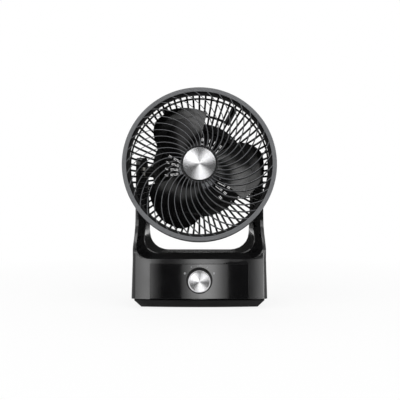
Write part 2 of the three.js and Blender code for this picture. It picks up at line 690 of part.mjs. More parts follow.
// Hat-shaped bracket that straddles the gear and carries the swing motor.
function makeSwingDrive() {
  const half = BRACKET_HALF;
  const foot = half + BRACKET_FOOT;
  const t = BRACKET_THICKNESS;
  const low = FLOOR_TOP + GAP;
  const top = BRACKET_LOW + t;
  const hat = prism([[-foot, low], [-half, low], [-half, BRACKET_LOW], [half, BRACKET_LOW],
    [half, low], [foot, low], [foot, low + t], [half + t, low + t], [half + t, top],
    [-half - t, top], [-half - t, low + t], [-foot, low + t]], BRACKET_LENGTH);
  hat.rotateX(Math.PI / 2).translate(0, PINION_Y + BRACKET_LENGTH / 2, 0);
  const hole = upright(rod(PINION_SHAFT_RADIUS + 2, -5, 80)).translate(0, PINION_Y, 0);
  add(stand, 'swing_bracket', cut(hat, hole), COLOURS.steel, 0.4, 1);

  const motorLow = top + GAP;
  const can = rod(SWING_MOTOR_RADIUS, motorLow, motorLow + SWING_MOTOR_HEIGHT, 20);
  const bore = rod(PINION_SHAFT_RADIUS + RUN, motorLow - 2, motorLow + 8, 16);
  const lugs = [1, -1].map((s) => rod(LUG_RADIUS, motorLow, motorLow + BRACKET_THICKNESS)
    .translate(s * (SWING_MOTOR_RADIUS + LUG_RADIUS / 2), 0, 0));
  const motor = cut(join(can, ...lugs), bore);
  add(stand, 'swing_motor', upright(motor), COLOURS.steel, 0.4, 1).position.y = PINION_Y;

  const pinion = spurGear(PINION_TEETH, PINION_SHAFT_RADIUS * 0.5, GEAR_LOW + 0.3, GEAR_HIGH + 0.5,
    -Math.PI / 2 + Math.PI / PINION_TEETH);
  add(stand, 'swing_pinion', pinion, COLOURS.acetal, 0.5).position.y = PINION_Y;
}

function makeElectrics() {
  const seated = (length, width, height) => box(-length / 2, length / 2, -width / 2, width / 2,
    FLOOR_TOP + GAP, FLOOR_TOP + GAP + height);
  add(stand, 'run_capacitor', seated(CAPACITOR_LENGTH, CAPACITOR_WIDTH, CAPACITOR_HEIGHT),
    COLOURS.acetal, 0.4).position.set(CAPACITOR_X, CAPACITOR_Y, 0);
  const block = seated(TERMINAL_LENGTH, TERMINAL_WIDTH, TERMINAL_HEIGHT);
  const slots = [-1, 0, 1].map((i) => seated(TERMINAL_SLOT, TERMINAL_WIDTH + 2, TERMINAL_HEIGHT)
    .translate(i * TERMINAL_LENGTH * 0.3, 0, TERMINAL_HEIGHT * 0.7));
  add(stand, 'terminal_block', cut(block, ...slots), COLOURS.acetal, 0.5)
    .position.set(TERMINAL_X, TERMINAL_Y, 0);
  add(stand, 'cord_gland', glandBody(), COLOURS.rubber, 0.7);
}

// Rubber gland in the back wall: two flanges and a neck, with the cord's empty bore.
const GLAND_X = 52;
const GLAND_Z = 34;
const GLAND_NECK = 6;
const GLAND_FLANGE = 8.5;
const GLAND_BORE = 3;
const GLAND_LIP = 1.8;

function glandBody() {
  const inner = -cavityInset(GLAND_Z + GLAND_FLANGE) - GAP;
  return turned([[GLAND_BORE, inner - GLAND_LIP], [GLAND_FLANGE, inner - GLAND_LIP],
    [GLAND_FLANGE, inner], [GLAND_NECK, inner], [GLAND_NECK, GAP], [GLAND_FLANGE, GAP],
    [GLAND_FLANGE - 1, GAP + GLAND_LIP], [GLAND_BORE, GAP + GLAND_LIP],
    [GLAND_BORE, inner - GLAND_LIP]], 12).translate(GLAND_X, STAND_HALF_DEPTH, GLAND_Z);
}

function glandHole() {
  return rod(GLAND_NECK + GAP, -12, 12).translate(GLAND_X, STAND_HALF_DEPTH, GLAND_Z);
}

function makePivotBushes() {
  const inner = PIVOT_PIN_RADIUS + RUN;
  const bush = () => sideways(ring(inner, inner + BUSH_WALL, 0, PIVOT_PIN_REACH, 12));
  add(stand, 'pivot_bush_right', bush(), COLOURS.acetal, 0.5)
    .position.set(ARM_INNER + GAP, 0, PIVOT_HEIGHT);
  add(stand, 'pivot_bush_left', bush(), COLOURS.acetal, 0.5)
    .position.set(-ARM_INNER - GAP - PIVOT_PIN_REACH, 0, PIVOT_HEIGHT);
}

// ---- base --------------------------------------------------------------------------------
function makeBase() {
  const top = BASE_INSET;
  const low = BASE_INSET + BASE_CHAMFER;
  const plate = planLoft([[BASE_BOTTOM, low], [BASE_TOP - 2, top], [BASE_TOP, top]]);
  const feet = [[1, 1], [-1, 1], [-1, -1], [1, -1]].map(([sx, sy]) => [sx * FOOT_X, sy * FOOT_Y]);
  const recess = (x, y) => upright(rod(FOOT_RADIUS + GAP, -5, FOOT_RECESS + GAP))
    .translate(x, y, BASE_BOTTOM);
  add(base, 'base_plate', cut(plate, ...feet.map(([x, y]) => recess(x, y))), COLOURS.ribBlack, 0.5);
  feet.forEach(([x, y], i) => {
    const pad = turned([[0, 0], [FOOT_RADIUS - 0.8, 0], [FOOT_RADIUS, 0.8],
      [FOOT_RADIUS, BASE_BOTTOM + FOOT_RECESS], [0, BASE_BOTTOM + FOOT_RECESS]], 12);
    add(base, `foot_${i + 1}`, upright(pad), COLOURS.rubber, 0.9).position.set(x, y, 0);
  });

  const washerLow = BASE_TOP + GAP;
  const washer = ring(SPINDLE_FLANGE + 1, WASHER_RADIUS, washerLow, washerLow + WASHER_THICKNESS, 20);
  add(base, 'thrust_washer', upright(washer), COLOURS.acetal, 0.4);

  const seat = BASE_TOP + GAP;
  const shoulder = GEAR_LOW - GAP;
  const top2 = GEAR_HIGH + 1;
  const spindle = turned([[SPINDLE_BORE, seat], [SPINDLE_FLANGE, seat], [SPINDLE_FLANGE, seat + 0.9],
    [SPINDLE_RADIUS, seat + 0.9], [SPINDLE_RADIUS, shoulder], [SPINDLE_RADIUS - 2, shoulder],
    [SPINDLE_RADIUS - 2, top2], [SPINDLE_BORE, top2], [SPINDLE_BORE, seat]]);
  add(base, 'base_spindle', upright(spindle), COLOURS.steel, 0.4, 1);

  const gear = spurGear(GEAR_TEETH, SPINDLE_RADIUS - 2 + GAP, GEAR_LOW, GEAR_HIGH, Math.PI / 2);
  add(base, 'swing_gear', gear, COLOURS.acetal, 0.5);
}

// ---- head: grilles -----------------------------------------------------------------------

// Closed slab between a front and a back grid of points over the unit square.
function slab(across, along, point) {
  const row = across + 1;
  const layer = row * (along + 1);
  const points = [];
  for (let face = 0; face < 2; face++) {
    for (let j = 0; j <= along; j++) {
      for (let i = 0; i <= across; i++) points.push(point(i / across, j / along, face));
    }
  }
  const corners = [];
  const quad = (a, b, c, d) => corners.push(a, b, c, a, c, d);
  for (let j = 0; j < along; j++) {
    for (let i = 0; i < across; i++) {
      const a = j * row + i;
      quad(a, a + 1, a + row + 1, a + row);
      quad(layer + a, layer + a + row, layer + a + row + 1, layer + a + 1);
    }
  }
  const border = [];
  for (let i = 0; i < across; i++) border.push(i);
  for (let j = 0; j < along; j++) border.push(j * row + across);
  for (let i = across; i > 0; i--) border.push(along * row + i);
  for (let j = along; j > 0; j--) border.push(j * row);
  border.forEach((a, k) => {
    const b = border[(k + 1) % border.length];
    quad(b, a, layer + a, layer + b);
  });
  const geometry = new THREE.BufferGeometry().setFromPoints(points);
  geometry.setIndex(corners);
  return geometry;
}

// Outline in the face of the head, pulled back between two depths.
function facing(outline, from, to) {
  return prism(outline, to - from).rotateX(Math.PI / 2).translate(0, depth(to), 0);
}

// Turns a piece that points along +X to an angle counted clockwise from the top, seen from ahead.
const turnTo = (geometry, angle) => geometry.rotateY(angle - Math.PI / 2);

// A rib curls round as it goes out: its angle falls by a power of the way it has gone.
function spiralAngle(radius) {
  const share = (radius - GRILLE_HUB_RADIUS) / (RIM_RADIUS - RIM_WIDTH - 4 - GRILLE_HUB_RADIUS);
  return SPIRAL_START_ANGLE - SPIRAL_SWEEP * Math.max(0, share) ** SPIRAL_CURVE;
}

function spiralRib(steps = 5) {
  const from = GRILLE_HUB_RADIUS - 2;
  const to = RIM_RADIUS - SKIRT_WALL - 1;
  const at = (s) => {
    const radius = from + (to - from) * s;
    const angle = spiralAngle(radius);
    return new THREE.Vector3(radius * Math.sin(angle), 0, radius * Math.cos(angle));
  };
  const sections = Array.from({ length: steps + 1 }, (_, i) => {
    const s = i / steps;
    const here = at(s);
    const along = at(s + 0.01).sub(at(s - 0.01)).normalize();
    const aside = new THREE.Vector3(along.z, 0, -along.x).multiplyScalar(SPIRAL_RIB_WIDTH / 2);
    const low = depth(1);
    const high = depth(1 + SPIRAL_RIB_DEPTH);
    return [[aside, low], [aside, high], [aside.clone().negate(), high],
      [aside.clone().negate(), low]].map(([v, y]) => here.clone().add(v).setY(y));
  });
  return loft(sections);
}

function makeFrontGrille() {
  const inner = RIM_RADIUS - RIM_WIDTH;
  const skirt = RIM_RADIUS - SKIRT_WALL;
  const rim = turned([[inner, 0], [RIM_RADIUS - 1, 0], [RIM_RADIUS, 1], [RIM_RADIUS, SKIRT_DEPTH],
    [skirt, SKIRT_DEPTH], [skirt, RIM_THICKNESS],
    [inner, RIM_THICKNESS], [inner, 0]].map(([r, d]) => [r, depth(d)]), 48);
  const seat = CAP_RADIUS + GAP;
  const hub = turned([[0, CAP_THICKNESS + 1], [seat, CAP_THICKNESS + 1], [seat, 1.2],
    [GRILLE_HUB_RADIUS, 1.2], [GRILLE_HUB_RADIUS, GRILLE_HUB_DEPTH], [0, GRILLE_HUB_DEPTH]]
    .map(([r, d]) => [r, depth(d)]), 30);
  const rib = spiralRib();
  const ribs = Array.from({ length: SPIRAL_RIBS }, (_, i) => (
    rib.clone().rotateY(2 * Math.PI * i / SPIRAL_RIBS)
  ));
  add(head, 'front_grille', join(rim, hub, ...ribs), COLOURS.rimGrey, 0.45);

  const back = depth(CAP_THICKNESS + 1 - GAP);
  const cap = turned([[0, back], [CAP_RADIUS, back], [CAP_RADIUS, depth(0.6)],
    [CAP_RADIUS - 0.8, depth(-0.2)], [0, depth(-0.9)]], 30);
  add(head, 'hub_cap', cap, COLOURS.aluminium, 0.25, 1);
}

// The cage's outer face as radius and depth: a bowl from the shoulder in to the motor's ring.
const BOWL = [
  [SHOULDER_RADIUS + 1.9, SHOULDER_DEPTH + 3],
  [SHOULDER_RADIUS - 5.7, SHOULDER_DEPTH + 18],
  [MOTOR_RING_RADIUS - 0.5, MOTOR_RING_DEPTH],
];
const BAR_INSET = [-2.6, -3]; // from that face to the inner face of its ribs and bars

function bowlDepth(radius) {
  const i = BOWL.findIndex(([r], k) => k > 0 && r <= radius);
  const [[outer, start], [inner, end]] = [BOWL[i - 1], BOWL[i]];
  return start + (end - start) * (outer - radius) / (outer - inner);
}

// Section of a rib or bar, from its outer face to the inner one and back.
function barSection(face) {
  const inner = face.map(([r, d]) => [r + BAR_INSET[0], d + BAR_INSET[1]]).reverse();
  return [...face, ...inner];
}

// Bar of a section through the axis, `width` across, pointing along +X.
function cageBar(section, width) {
  return prism(section.map(([r, d]) => [r, depth(d)]), width).translate(0, 0, -width / 2);
}

// Ring in which the skirt ends, with the shroud that stands in the skirt.
function cageRing() {
  const low = SKIRT_DEPTH + GAP;
  const high = low + CAGE_RING_DEPTH;
  const outer = RIM_RADIUS - SKIRT_WALL - 2 * GAP;
  const lip = outer - SHROUD_LIP;
  const behindLip = SHROUD_FRONT + SHROUD_WALL;
  return turned([[lip, SHROUD_FRONT], [outer, SHROUD_FRONT], [outer, low], [CAGE_RADIUS, low],
    [CAGE_RADIUS, high], [outer - SHROUD_WALL, high], [outer - SHROUD_WALL, behindLip],
    [lip, behindLip], [lip, SHROUD_FRONT]].map(([r, d]) => [r, depth(d)]), REAR_RIBS / 2);
}

const COVER_SCREWS = [0.25, 0.75, 1.25, 1.75].map((turn) => turn * Math.PI);
const COVER_SCREW_CIRCLE = MOTOR_RING_RADIUS - MOTOR_RING_WIDTH / 2;
const COVER_SCREW_LENGTH = 8;
const FLANGE_LOW = MOTOR_RING_DEPTH + GAP;
const FLANGE_HIGH = FLANGE_LOW + COVER_WALL;

const coverScrewAt = (angle) => [
  COVER_SCREW_CIRCLE * Math.sin(angle), depth(FLANGE_HIGH + 0.1), COVER_SCREW_CIRCLE * Math.cos(angle),
];

function makeRearGrille() {
  const [w, h] = [SHOULDER_RING_WIDTH / 2, SHOULDER_RING_DEPTH / 2];
  const rings = [
    cageRing(),
    ring(SHOULDER_RADIUS - w, SHOULDER_RADIUS + w, depth(SHOULDER_DEPTH - h),
      depth(SHOULDER_DEPTH + h), REAR_RIBS / 2),
    ring(MOTOR_RING_RADIUS - MOTOR_RING_WIDTH, MOTOR_RING_RADIUS, depth(MOTOR_RING_DEPTH - 3),
      depth(MOTOR_RING_DEPTH), REAR_RIBS / 2),
  ];
  const start = SKIRT_DEPTH + 2;
  const rib = cageBar([[CAGE_RADIUS - 0.7, start], ...barSection(BOWL), [CAGE_RADIUS - 5.5, start]],
    REAR_RIB_WIDTH);
  const ribs = Array.from({ length: REAR_RIBS }, (_, i) => (
    rib.clone().rotateY(2 * Math.PI * i / REAR_RIBS)
  ));
  const bar = barSection([...BOWL.slice(0, 2), [HANDLE_ARC_RADIUS, bowlDepth(HANDLE_ARC_RADIUS)]]);
  const bars = [1, -1].map((side) => (
    turnTo(cageBar(bar, HANDLE_BAR_WIDTH), side * HANDLE_BAR_ANGLE)
  ));
  const half = HANDLE_BAR_ANGLE + HANDLE_BAR_WIDTH / 2 / HANDLE_ARC_RADIUS;
  const across = HANDLE_ARC_WIDTH / 2;
  const arc = [
    ...arcPoints(0, 0, HANDLE_ARC_RADIUS + across, Math.PI / 2 - half, Math.PI / 2 + half, 10),
    ...arcPoints(0, 0, HANDLE_ARC_RADIUS - across, Math.PI / 2 + half, Math.PI / 2 - half, 10),
  ];
  const arcDepth = bowlDepth(HANDLE_ARC_RADIUS);
  const arcBar = facing(arc, arcDepth - 3.4, arcDepth + 0.6);
  const holes = COVER_SCREWS.map((angle) => (
    rod(SCREW_RADIUS + GAP, -COVER_SCREW_LENGTH - 4, 5, 8).translate(...coverScrewAt(angle))
  ));
  add(head, 'rear_grille', cut(join(...rings, ...ribs, ...bars, arcBar), ...holes),
    COLOURS.ribBlack, 0.5);
}

// ---- head: motor cover, motor, pivots ----------------------------------------------------
function ventSlots() {
  const slots = [];
  for (let i = 0; i < VENTS; i++) {
    const angle = 2 * Math.PI * (i + 0.5) / VENTS;
    for (const [inner, outer] of VENT_ROWS.map((row) => row.map((r) => COVER_RADIUS - r))) {
      const side = Math.abs(outer * Math.sin(angle));
      if (Math.cos(angle) < 0 && side < VENT_FREE_HALF_WIDTH) continue;
      const slot = box(inner, outer, depth(COVER_BACK - 6), depth(COVER_BACK + 3),
        -VENT_WIDTH / 2, VENT_WIDTH / 2);
      slots.push(turnTo(slot, angle));
    }
  }
  return slots;
}

function makeMotorCover() {
  const out = COVER_RADIUS;
  const inn = COVER_RADIUS - COVER_WALL;
  const shell = turned([[0, COVER_BACK - COVER_WALL], [inn, COVER_BACK - COVER_WALL],
    [inn, FLANGE_LOW], [MOTOR_RING_RADIUS, FLANGE_LOW],
    [MOTOR_RING_RADIUS, FLANGE_HIGH], [out, FLANGE_HIGH], [out, COVER_BACK - 3],
    [out - 3, COVER_BACK], [0, COVER_BACK]].map(([r, d]) => [r, depth(d)]), VENTS);
  const posts = [0, 1, 2].map((i) => rod(MOTOR_POST_RADIUS, depth(MOTOR_BACK + GAP),
    depth(COVER_BACK - 1), 12).translate(MOTOR_POST_CIRCLE, 0, 0).rotateY(i * 2 * Math.PI / 3));
  const bosses = [1, -1].map((side) => sideways(rod(PIVOT_BOSS_RADIUS, 0, PIVOT_BOSS_REACH - inn + 1.5, 16))
    .translate(side > 0 ? inn - 1.5 : -PIVOT_BOSS_REACH, 0, 0));
  const bore = sideways(rod(SPIGOT_RADIUS + GAP, -PIVOT_BOSS_REACH - 5, PIVOT_BOSS_REACH + 5, 16));
  const holes = COVER_SCREWS.map((angle) => (
    rod(SCREW_RADIUS + GAP, -COVER_SCREW_LENGTH - 4, 5, 8).translate(...coverScrewAt(angle))
  ));
  const cover = cut(join(shell, ...posts, ...bosses), bore, ...holes, ...ventSlots());
  add(head, 'motor_cover', cover, COLOURS.ribBlack, 0.5);
  COVER_SCREWS.forEach((angle, i) => {
    add(head, `cover_screw_${i + 1}`, screw(COVER_SCREW_LENGTH), COLOURS.steel, 0.35, 1)
      .position.set(...coverScrewAt(angle));
  });
}

const SPIGOT_RADIUS = 4;

// Stub axle: spigot in the cover's boss, flange, and the pin that turns in the arm's bush.
function makeTiltPivots() {
  const seat = PIVOT_BOSS_REACH + GAP;
  const arm = ARM_INNER - GAP;
  const stub = () => turned([[0, seat - 9], [SPIGOT_RADIUS, seat - 9], [SPIGOT_RADIUS, seat],
    [PIVOT_BOSS_RADIUS - 1, seat], [PIVOT_BOSS_RADIUS - 1, seat + 2.5], [PIVOT_PIN_RADIUS + 2, seat + 4],
    [PIVOT_PIN_RADIUS + 2, arm], [PIVOT_PIN_RADIUS, arm], [PIVOT_PIN_RADIUS, ARM_INNER + PIVOT_PIN_REACH],
    [0, ARM_INNER + PIVOT_PIN_REACH]], 12);
  add(head, 'tilt_pivot_right', sideways(stub()), COLOURS.ribBlack, 0.4);
  add(head, 'tilt_pivot_left', sideways(stub()).rotateZ(Math.PI), COLOURS.ribBlack, 0.4);
}

function makeMotor() {
  const back = MOTOR_FRONT + 13;
  const stackEnd = back + STATOR_LENGTH;
  const bore = MOTOR_BUSH_RADIUS + GAP;
  const w = BELL_WALL;
  const r = MOTOR_RADIUS;
  const at = (pairs) => pairs.map(([radius, d]) => [radius, depth(d)]);
  const front = at([[bore, MOTOR_FRONT], [r - 11, MOTOR_FRONT], [r, MOTOR_FRONT + 5], [r, back - GAP],
    [r - w, back - GAP], [r - w, MOTOR_FRONT + 6], [r - 12, MOTOR_FRONT + w], [bore, MOTOR_FRONT + w],
    [bore, MOTOR_FRONT]]);
  const rear = at([[bore, MOTOR_BACK], [r - 11, MOTOR_BACK], [r, MOTOR_BACK - 3], [r, stackEnd + GAP],
    [r - w, stackEnd + GAP], [r - w, MOTOR_BACK - 4], [r - 12, MOTOR_BACK - w], [bore, MOTOR_BACK - w],
    [bore, MOTOR_BACK]]);
  add(head, 'motor_front_bell', turned(front), COLOURS.steel, 0.5, 1);
  add(head, 'motor_rear_bell', turned(rear), COLOURS.steel, 0.5, 1);
  add(head, 'stator_stack', ring(STATOR_BORE + RUN, r, depth(back), depth(stackEnd)),
    COLOURS.steel, 0.6, 1);
  add(head, 'front_winding', ring(STATOR_BORE + 2, r - w - 2, depth(back - 6), depth(back - GAP)),
    COLOURS.copper, 0.5, 1);
  add(head, 'rear_winding', ring(STATOR_BORE + 2, r - w - 2, depth(stackEnd + GAP),
    depth(MOTOR_BACK - 5)), COLOURS.copper, 0.5, 1);
  const bush = (from) => ring(SHAFT_RADIUS + GAP, MOTOR_BUSH_RADIUS, depth(from),
    depth(from + MOTOR_BUSH_LENGTH), 12);
  add(head, 'front_bushing', bush(MOTOR_FRONT), COLOURS.brass, 0.4, 1);
  add(head, 'rear_bushing', bush(MOTOR_BACK - MOTOR_BUSH_LENGTH), COLOURS.brass, 0.4, 1);
}

// ---- impeller ----------------------------------------------------------------------------
const impeller = new THREE.Group();
head.add(impeller);
const SHAFT_FRONT = 10;

const BLADE_NOSE = 30; // the leading corner is rounded off by this much
const BLADE_TAIL = 19; // and the trailing one cut back by this much

// Outline of a blade: how far it reaches at each share of its chord, leading edge first.
function bladeReach(chord) {
  const nose = BLADE_NOSE * Math.max(0, 1 - chord / 0.27) ** 1.75;
  const tail = BLADE_TAIL * Math.max(0, 2 * chord - 1) ** 1.1;
  return TIP_RADIUS - nose - tail;
}

const LEADING_ANGLE = 50 * Math.PI / 180; // clockwise from the top, at the hub
const LEADING_LEAN = 10 * Math.PI / 180; // more at the tip
const CHORD_ANGLE = 72 * Math.PI / 180;
const TRAILING_LEAN = 8.4 * Math.PI / 180;
const BLADE_ROOT = HUB_RADIUS - 1.5;

function bladePoint(chord, span, face) {
  const radius = BLADE_ROOT + (bladeReach(chord) - BLADE_ROOT) * span;
  const out = (radius - BLADE_ROOT) / (TIP_RADIUS - BLADE_ROOT);
  const leading = LEADING_ANGLE + LEADING_LEAN * out;
  const trailing = LEADING_ANGLE + CHORD_ANGLE + TRAILING_LEAN * out;
  const angle = leading + (trailing - leading) * chord;
  const low = LEADING_ROOT_DEPTH + (LEADING_TIP_DEPTH - LEADING_ROOT_DEPTH) * out;
  const high = TRAILING_ROOT_DEPTH + (TRAILING_TIP_DEPTH - TRAILING_ROOT_DEPTH) * out;
  const at = low + (high - low) * chord ** BLADE_CAMBER;
  const thick = BLADE_THICKNESS * (face - 0.5);
  return new THREE.Vector3(radius * Math.sin(angle), depth(at + thick), radius * Math.cos(angle));
}

function makeImpeller() {
  const r = HUB_RADIUS;
  const w = HUB_WALL;
  const bore = SHAFT_RADIUS + GAP;
  const hub = turned([[bore, HUB_FRONT], [r - 5, HUB_FRONT], [r, HUB_FRONT + 3], [r, HUB_BACK],
    [r - w, HUB_BACK], [r - w, HUB_FRONT + 4.5], [r - 6.5, HUB_FRONT + w], [bore + 4, HUB_FRONT + w],
    [bore + 4, HUB_FRONT + 30], [bore, HUB_FRONT + 30], [bore, HUB_FRONT]]
    .map(([radius, d]) => [radius, depth(d)]), 24);
  const blades = Array.from({ length: BLADES }, (_, i) => (
    slab(8, 5, bladePoint).rotateY(2 * Math.PI * i / BLADES)
  ));
  add(impeller, 'impeller', join(hub, ...blades), COLOURS.bladeGrey, 0.35);

  const nut = turned([[0, 8], [SPINNER_RADIUS - 2, 8], [SPINNER_RADIUS, 10],
    [SPINNER_RADIUS, HUB_FRONT - GAP], [bore, HUB_FRONT - GAP], [bore, SHAFT_FRONT - GAP],
    [0, SHAFT_FRONT - GAP]].map(([radius, d]) => [radius, depth(d)]), 16);
  add(impeller, 'impeller_nut', nut, COLOURS.ribBlack, 0.4);
  add(impeller, 'motor_shaft', rod(SHAFT_RADIUS, depth(SHAFT_FRONT), depth(MOTOR_BACK + 1.5)),
    COLOURS.steel, 0.3, 1);
  add(impeller, 'rotor', ring(SHAFT_RADIUS + GAP, STATOR_BORE, depth(MOTOR_FRONT + 13.5),
    depth(MOTOR_FRONT + 12.5 + STATOR_LENGTH)), COLOURS.steel, 0.5, 1);
}

makeBase();
makeFloor();
makeSwingDrive();
makeElectrics();
makeShells();
makePivotBushes();
makePanel();
makeKnob();
makeFrontGrille();
makeRearGrille();
makeMotorCover();
makeTiltPivots();
makeMotor();
makeImpeller();

// The origin lies under the middle of the whole fan, from the knob's face to the gland's lip.
const frontReach = -knob.position.y + KNOB_LENGTH + KNOB_FACE_CROWN;
const backReach = STAND_HALF_DEPTH + GAP + GLAND_LIP;
fan.position.y = (frontReach - backReach) / 2;

export default fan;
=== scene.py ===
"""Looks of a table air circulator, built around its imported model.

The head carries a spiral front grille, a cage of straight ribs and a three-blade impeller. It
tilts between the arms of a stand that turns on a low base. All lengths are in metres.
"""

import json
import math

import bmesh
import bpy
import numpy as np
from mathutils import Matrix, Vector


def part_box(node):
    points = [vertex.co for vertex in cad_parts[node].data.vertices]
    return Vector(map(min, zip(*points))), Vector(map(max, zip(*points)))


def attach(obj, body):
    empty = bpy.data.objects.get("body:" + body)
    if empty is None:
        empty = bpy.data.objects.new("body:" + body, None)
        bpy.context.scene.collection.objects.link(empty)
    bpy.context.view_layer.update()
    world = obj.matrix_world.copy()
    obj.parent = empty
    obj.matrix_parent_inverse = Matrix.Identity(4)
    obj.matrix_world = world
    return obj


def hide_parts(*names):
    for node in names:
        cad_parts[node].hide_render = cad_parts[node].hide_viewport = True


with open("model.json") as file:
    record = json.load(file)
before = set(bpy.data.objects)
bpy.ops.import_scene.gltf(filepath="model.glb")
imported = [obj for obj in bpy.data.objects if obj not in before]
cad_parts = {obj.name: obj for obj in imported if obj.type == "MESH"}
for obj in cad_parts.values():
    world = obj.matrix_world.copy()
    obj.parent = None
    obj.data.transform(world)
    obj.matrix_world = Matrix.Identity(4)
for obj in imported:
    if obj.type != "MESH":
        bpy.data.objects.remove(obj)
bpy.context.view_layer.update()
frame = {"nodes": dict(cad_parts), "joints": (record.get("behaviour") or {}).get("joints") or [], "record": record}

bl_info = {
    "name": "Air circulator fan",
    "version": (1, 0, 0),
    "blender": (4, 5, 0),
    "location": "3D View > Sidebar > Fan",
    "description": "Builds the looks of a table air circulator around its packed model",
    "category": "Mesh",
}

MM = 0.001
TURN = 2 * math.pi

# ---- where things are, from the frame ----
JOINTS = {joint["name"]: joint for joint in frame["joints"]}
PIVOT = np.array(JOINTS["tilt"]["pos_m"], float)
LOOK = np.array(JOINTS["blade_spin"]["axis"], float)
HEAD_AXES = np.array([(1, 0, 0), -LOOK, np.cross((1, 0, 0), -LOOK)])
KNOB_SEAT = np.array(JOINTS["knob_turn"]["pos_m"], float)
CENTRE_Y = PIVOT[1]

RIM_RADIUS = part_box("front_grille")[1].x
CAP_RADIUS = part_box("hub_cap")[1].x
CAGE_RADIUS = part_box("rear_grille")[1].x
KNOB_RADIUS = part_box("selector_knob")[1].x
BEZEL_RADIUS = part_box("dial_bezel")[1].x
PANEL_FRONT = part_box("control_panel")[0].y

# ---- head, as depths behind the rim's front plane ----
RIM_AHEAD = 100 * MM  # of the tilt axis
RIM_WIDTH = 7 * MM
RIM_NOSE = 0.2 * MM
RIM_WALL = 3.2 * MM
SKIRT_WALL = 2.5 * MM
SKIRT_DEPTH = 28 * MM
GRILLE_HUB_RADIUS = 31 * MM
GRILLE_HUB_LIP = 1 * MM
GRILLE_HUB_FACE = 1.2 * MM
GRILLE_HUB_FLOOR = 3 * MM
GRILLE_HUB_BACK = 6 * MM
CAP_CLEARANCE = 0.3 * MM
SPIRAL_FRONT = 0.7 * MM
SPIRAL_START = math.radians(3.6)
SPIRAL_SWEEP = math.radians(42.3)
SPIRAL_CURVE = 1.25
SPIRAL_END = RIM_RADIUS - RIM_WIDTH - 4 * MM  # where a rib has turned by the whole sweep
SHROUD_FRONT = 9 * MM
SHROUD_LIP = 8.6 * MM
CAGE_FIT = 0.6 * MM  # between the shroud and the skirt around it
CAGE_WALL = 2.5 * MM
CAGE_RING = (0.3 * MM, 5.3 * MM)  # its front and back behind the skirt
SHOULDER_RADIUS = RIM_RADIUS - 9.3 * MM
SHOULDER_DEPTH = 42 * MM
SHOULDER_RING = (1.4 * MM, 1.7 * MM)  # half its width and half its thickness
MOTOR_RING_DEPTH = 84 * MM
MOTOR_RING_RADIUS = RIM_RADIUS - 43.5 * MM
MOTOR_RING_WIDTH = 7.5 * MM
MOTOR_RING_WALL = 3 * MM
HANDLE_ANGLE = math.radians(30.7)
HANDLE_WIDTH = 10.5 * MM
HANDLE_DEPTH = 3.4 * MM
HANDLE_ARC_RADIUS = MOTOR_RING_RADIUS + 11.5 * MM
HANDLE_ARC_WIDTH = 4 * MM
HANDLE_ARC_RISE = 0.6 * MM
COVER_BACK = 112.5 * MM
COVER_VENTS = 32
SLAT_WIDTH = 1.5 * MM
SLAT_REACH = np.array((37, 63)) * MM
SLAT_DEPTHS = (-2.3 * MM, -0.2 * MM)
CAGE_RIB_HALF_DEPTH = 1.9 * MM
CAGE_RIB_BEND = 6 * MM
CAGE_RIB_INSET = np.array((1.3, 1.5)) * MM  # of a rib's middle, from the bowl's outer face
CAGE_RIB_START = np.array((CAGE_RADIUS - 3.1 * MM, SKIRT_DEPTH + 2 * MM))
RING_SEGMENTS = 210
BOWL_RADII = np.array((SHOULDER_RADIUS + 1.9 * MM, SHOULDER_RADIUS - 5.7 * MM,
                       MOTOR_RING_RADIUS - 0.5 * MM))
BOWL_DEPTHS = np.array((SHOULDER_DEPTH + 3 * MM, SHOULDER_DEPTH + 18 * MM, MOTOR_RING_DEPTH))

# ---- impeller ----
HUB_RADIUS = 27 * MM
HUB_BORE = 4.3 * MM
HUB_WALL = 2.5 * MM
HUB_PLATE = 3 * MM
SLEEVE_WALL = 4 * MM
SLEEVE_LENGTH = 30 * MM
HUB_FRONT = 16 * MM
HUB_BACK = 62 * MM
TIP_RADIUS = RIM_RADIUS - 16.3 * MM
LEADING_ROOT_DEPTH = 58 * MM
LEADING_TIP_DEPTH = 52 * MM
TRAILING_ROOT_DEPTH = 22 * MM
TRAILING_TIP_DEPTH = 30 * MM
BLADE_CAMBER = 1.7
BLADE_NOSE = 30 * MM
BLADE_TAIL = 19 * MM
LEADING_ANGLE = math.radians(50)
LEADING_LEAN = math.radians(10)
CHORD_ANGLE = math.radians(72)
TRAILING_LEAN = math.radians(8.4)

# ---- stand ----
FRONT_BOW_RADIUS = 900 * MM
KNOB_LENGTH = 13 * MM
KNOB_WALL = 1.7 * MM
BEZEL_BORE = 4 * MM
MARK_LIFT = 0.06 * MM
# Printed dots, as (radius, angle either side of the top, circle that they stand on).
DIAL_DOTS = ((1.8 * MM, 64, 26 * MM), (0.9 * MM, 31, 25.2 * MM))
WORD_SIZE = 4.4 * MM
WORD_HEIGHT = 22.2 * MM


def srgb(code):
    """Linear colour of an sRGB hex code: c/12.92 below 0.04045, else ((c + 0.055)/1.055)^2.4."""
    values = [int(code[i:i + 2], 16) / 255 for i in (0, 2, 4)]
    return tuple(c / 12.92 if c <= 0.04045 else ((c + 0.055) / 1.055) ** 2.4 for c in values)


def count(name, description, default):
    """A number of parts that a user might change."""
    return bpy.props.IntProperty(name=name, description=description, default=default, min=8)


def length(name, description, default):
    """A length that a user might change."""
    return bpy.props.FloatProperty(name=name, description=description, default=default,
                                   unit="LENGTH")


def colour_of(name, description, code):
    """A colour that a user might change."""
    return bpy.props.FloatVectorProperty(name=name, description=description, subtype="COLOR",
                                         default=srgb(code))


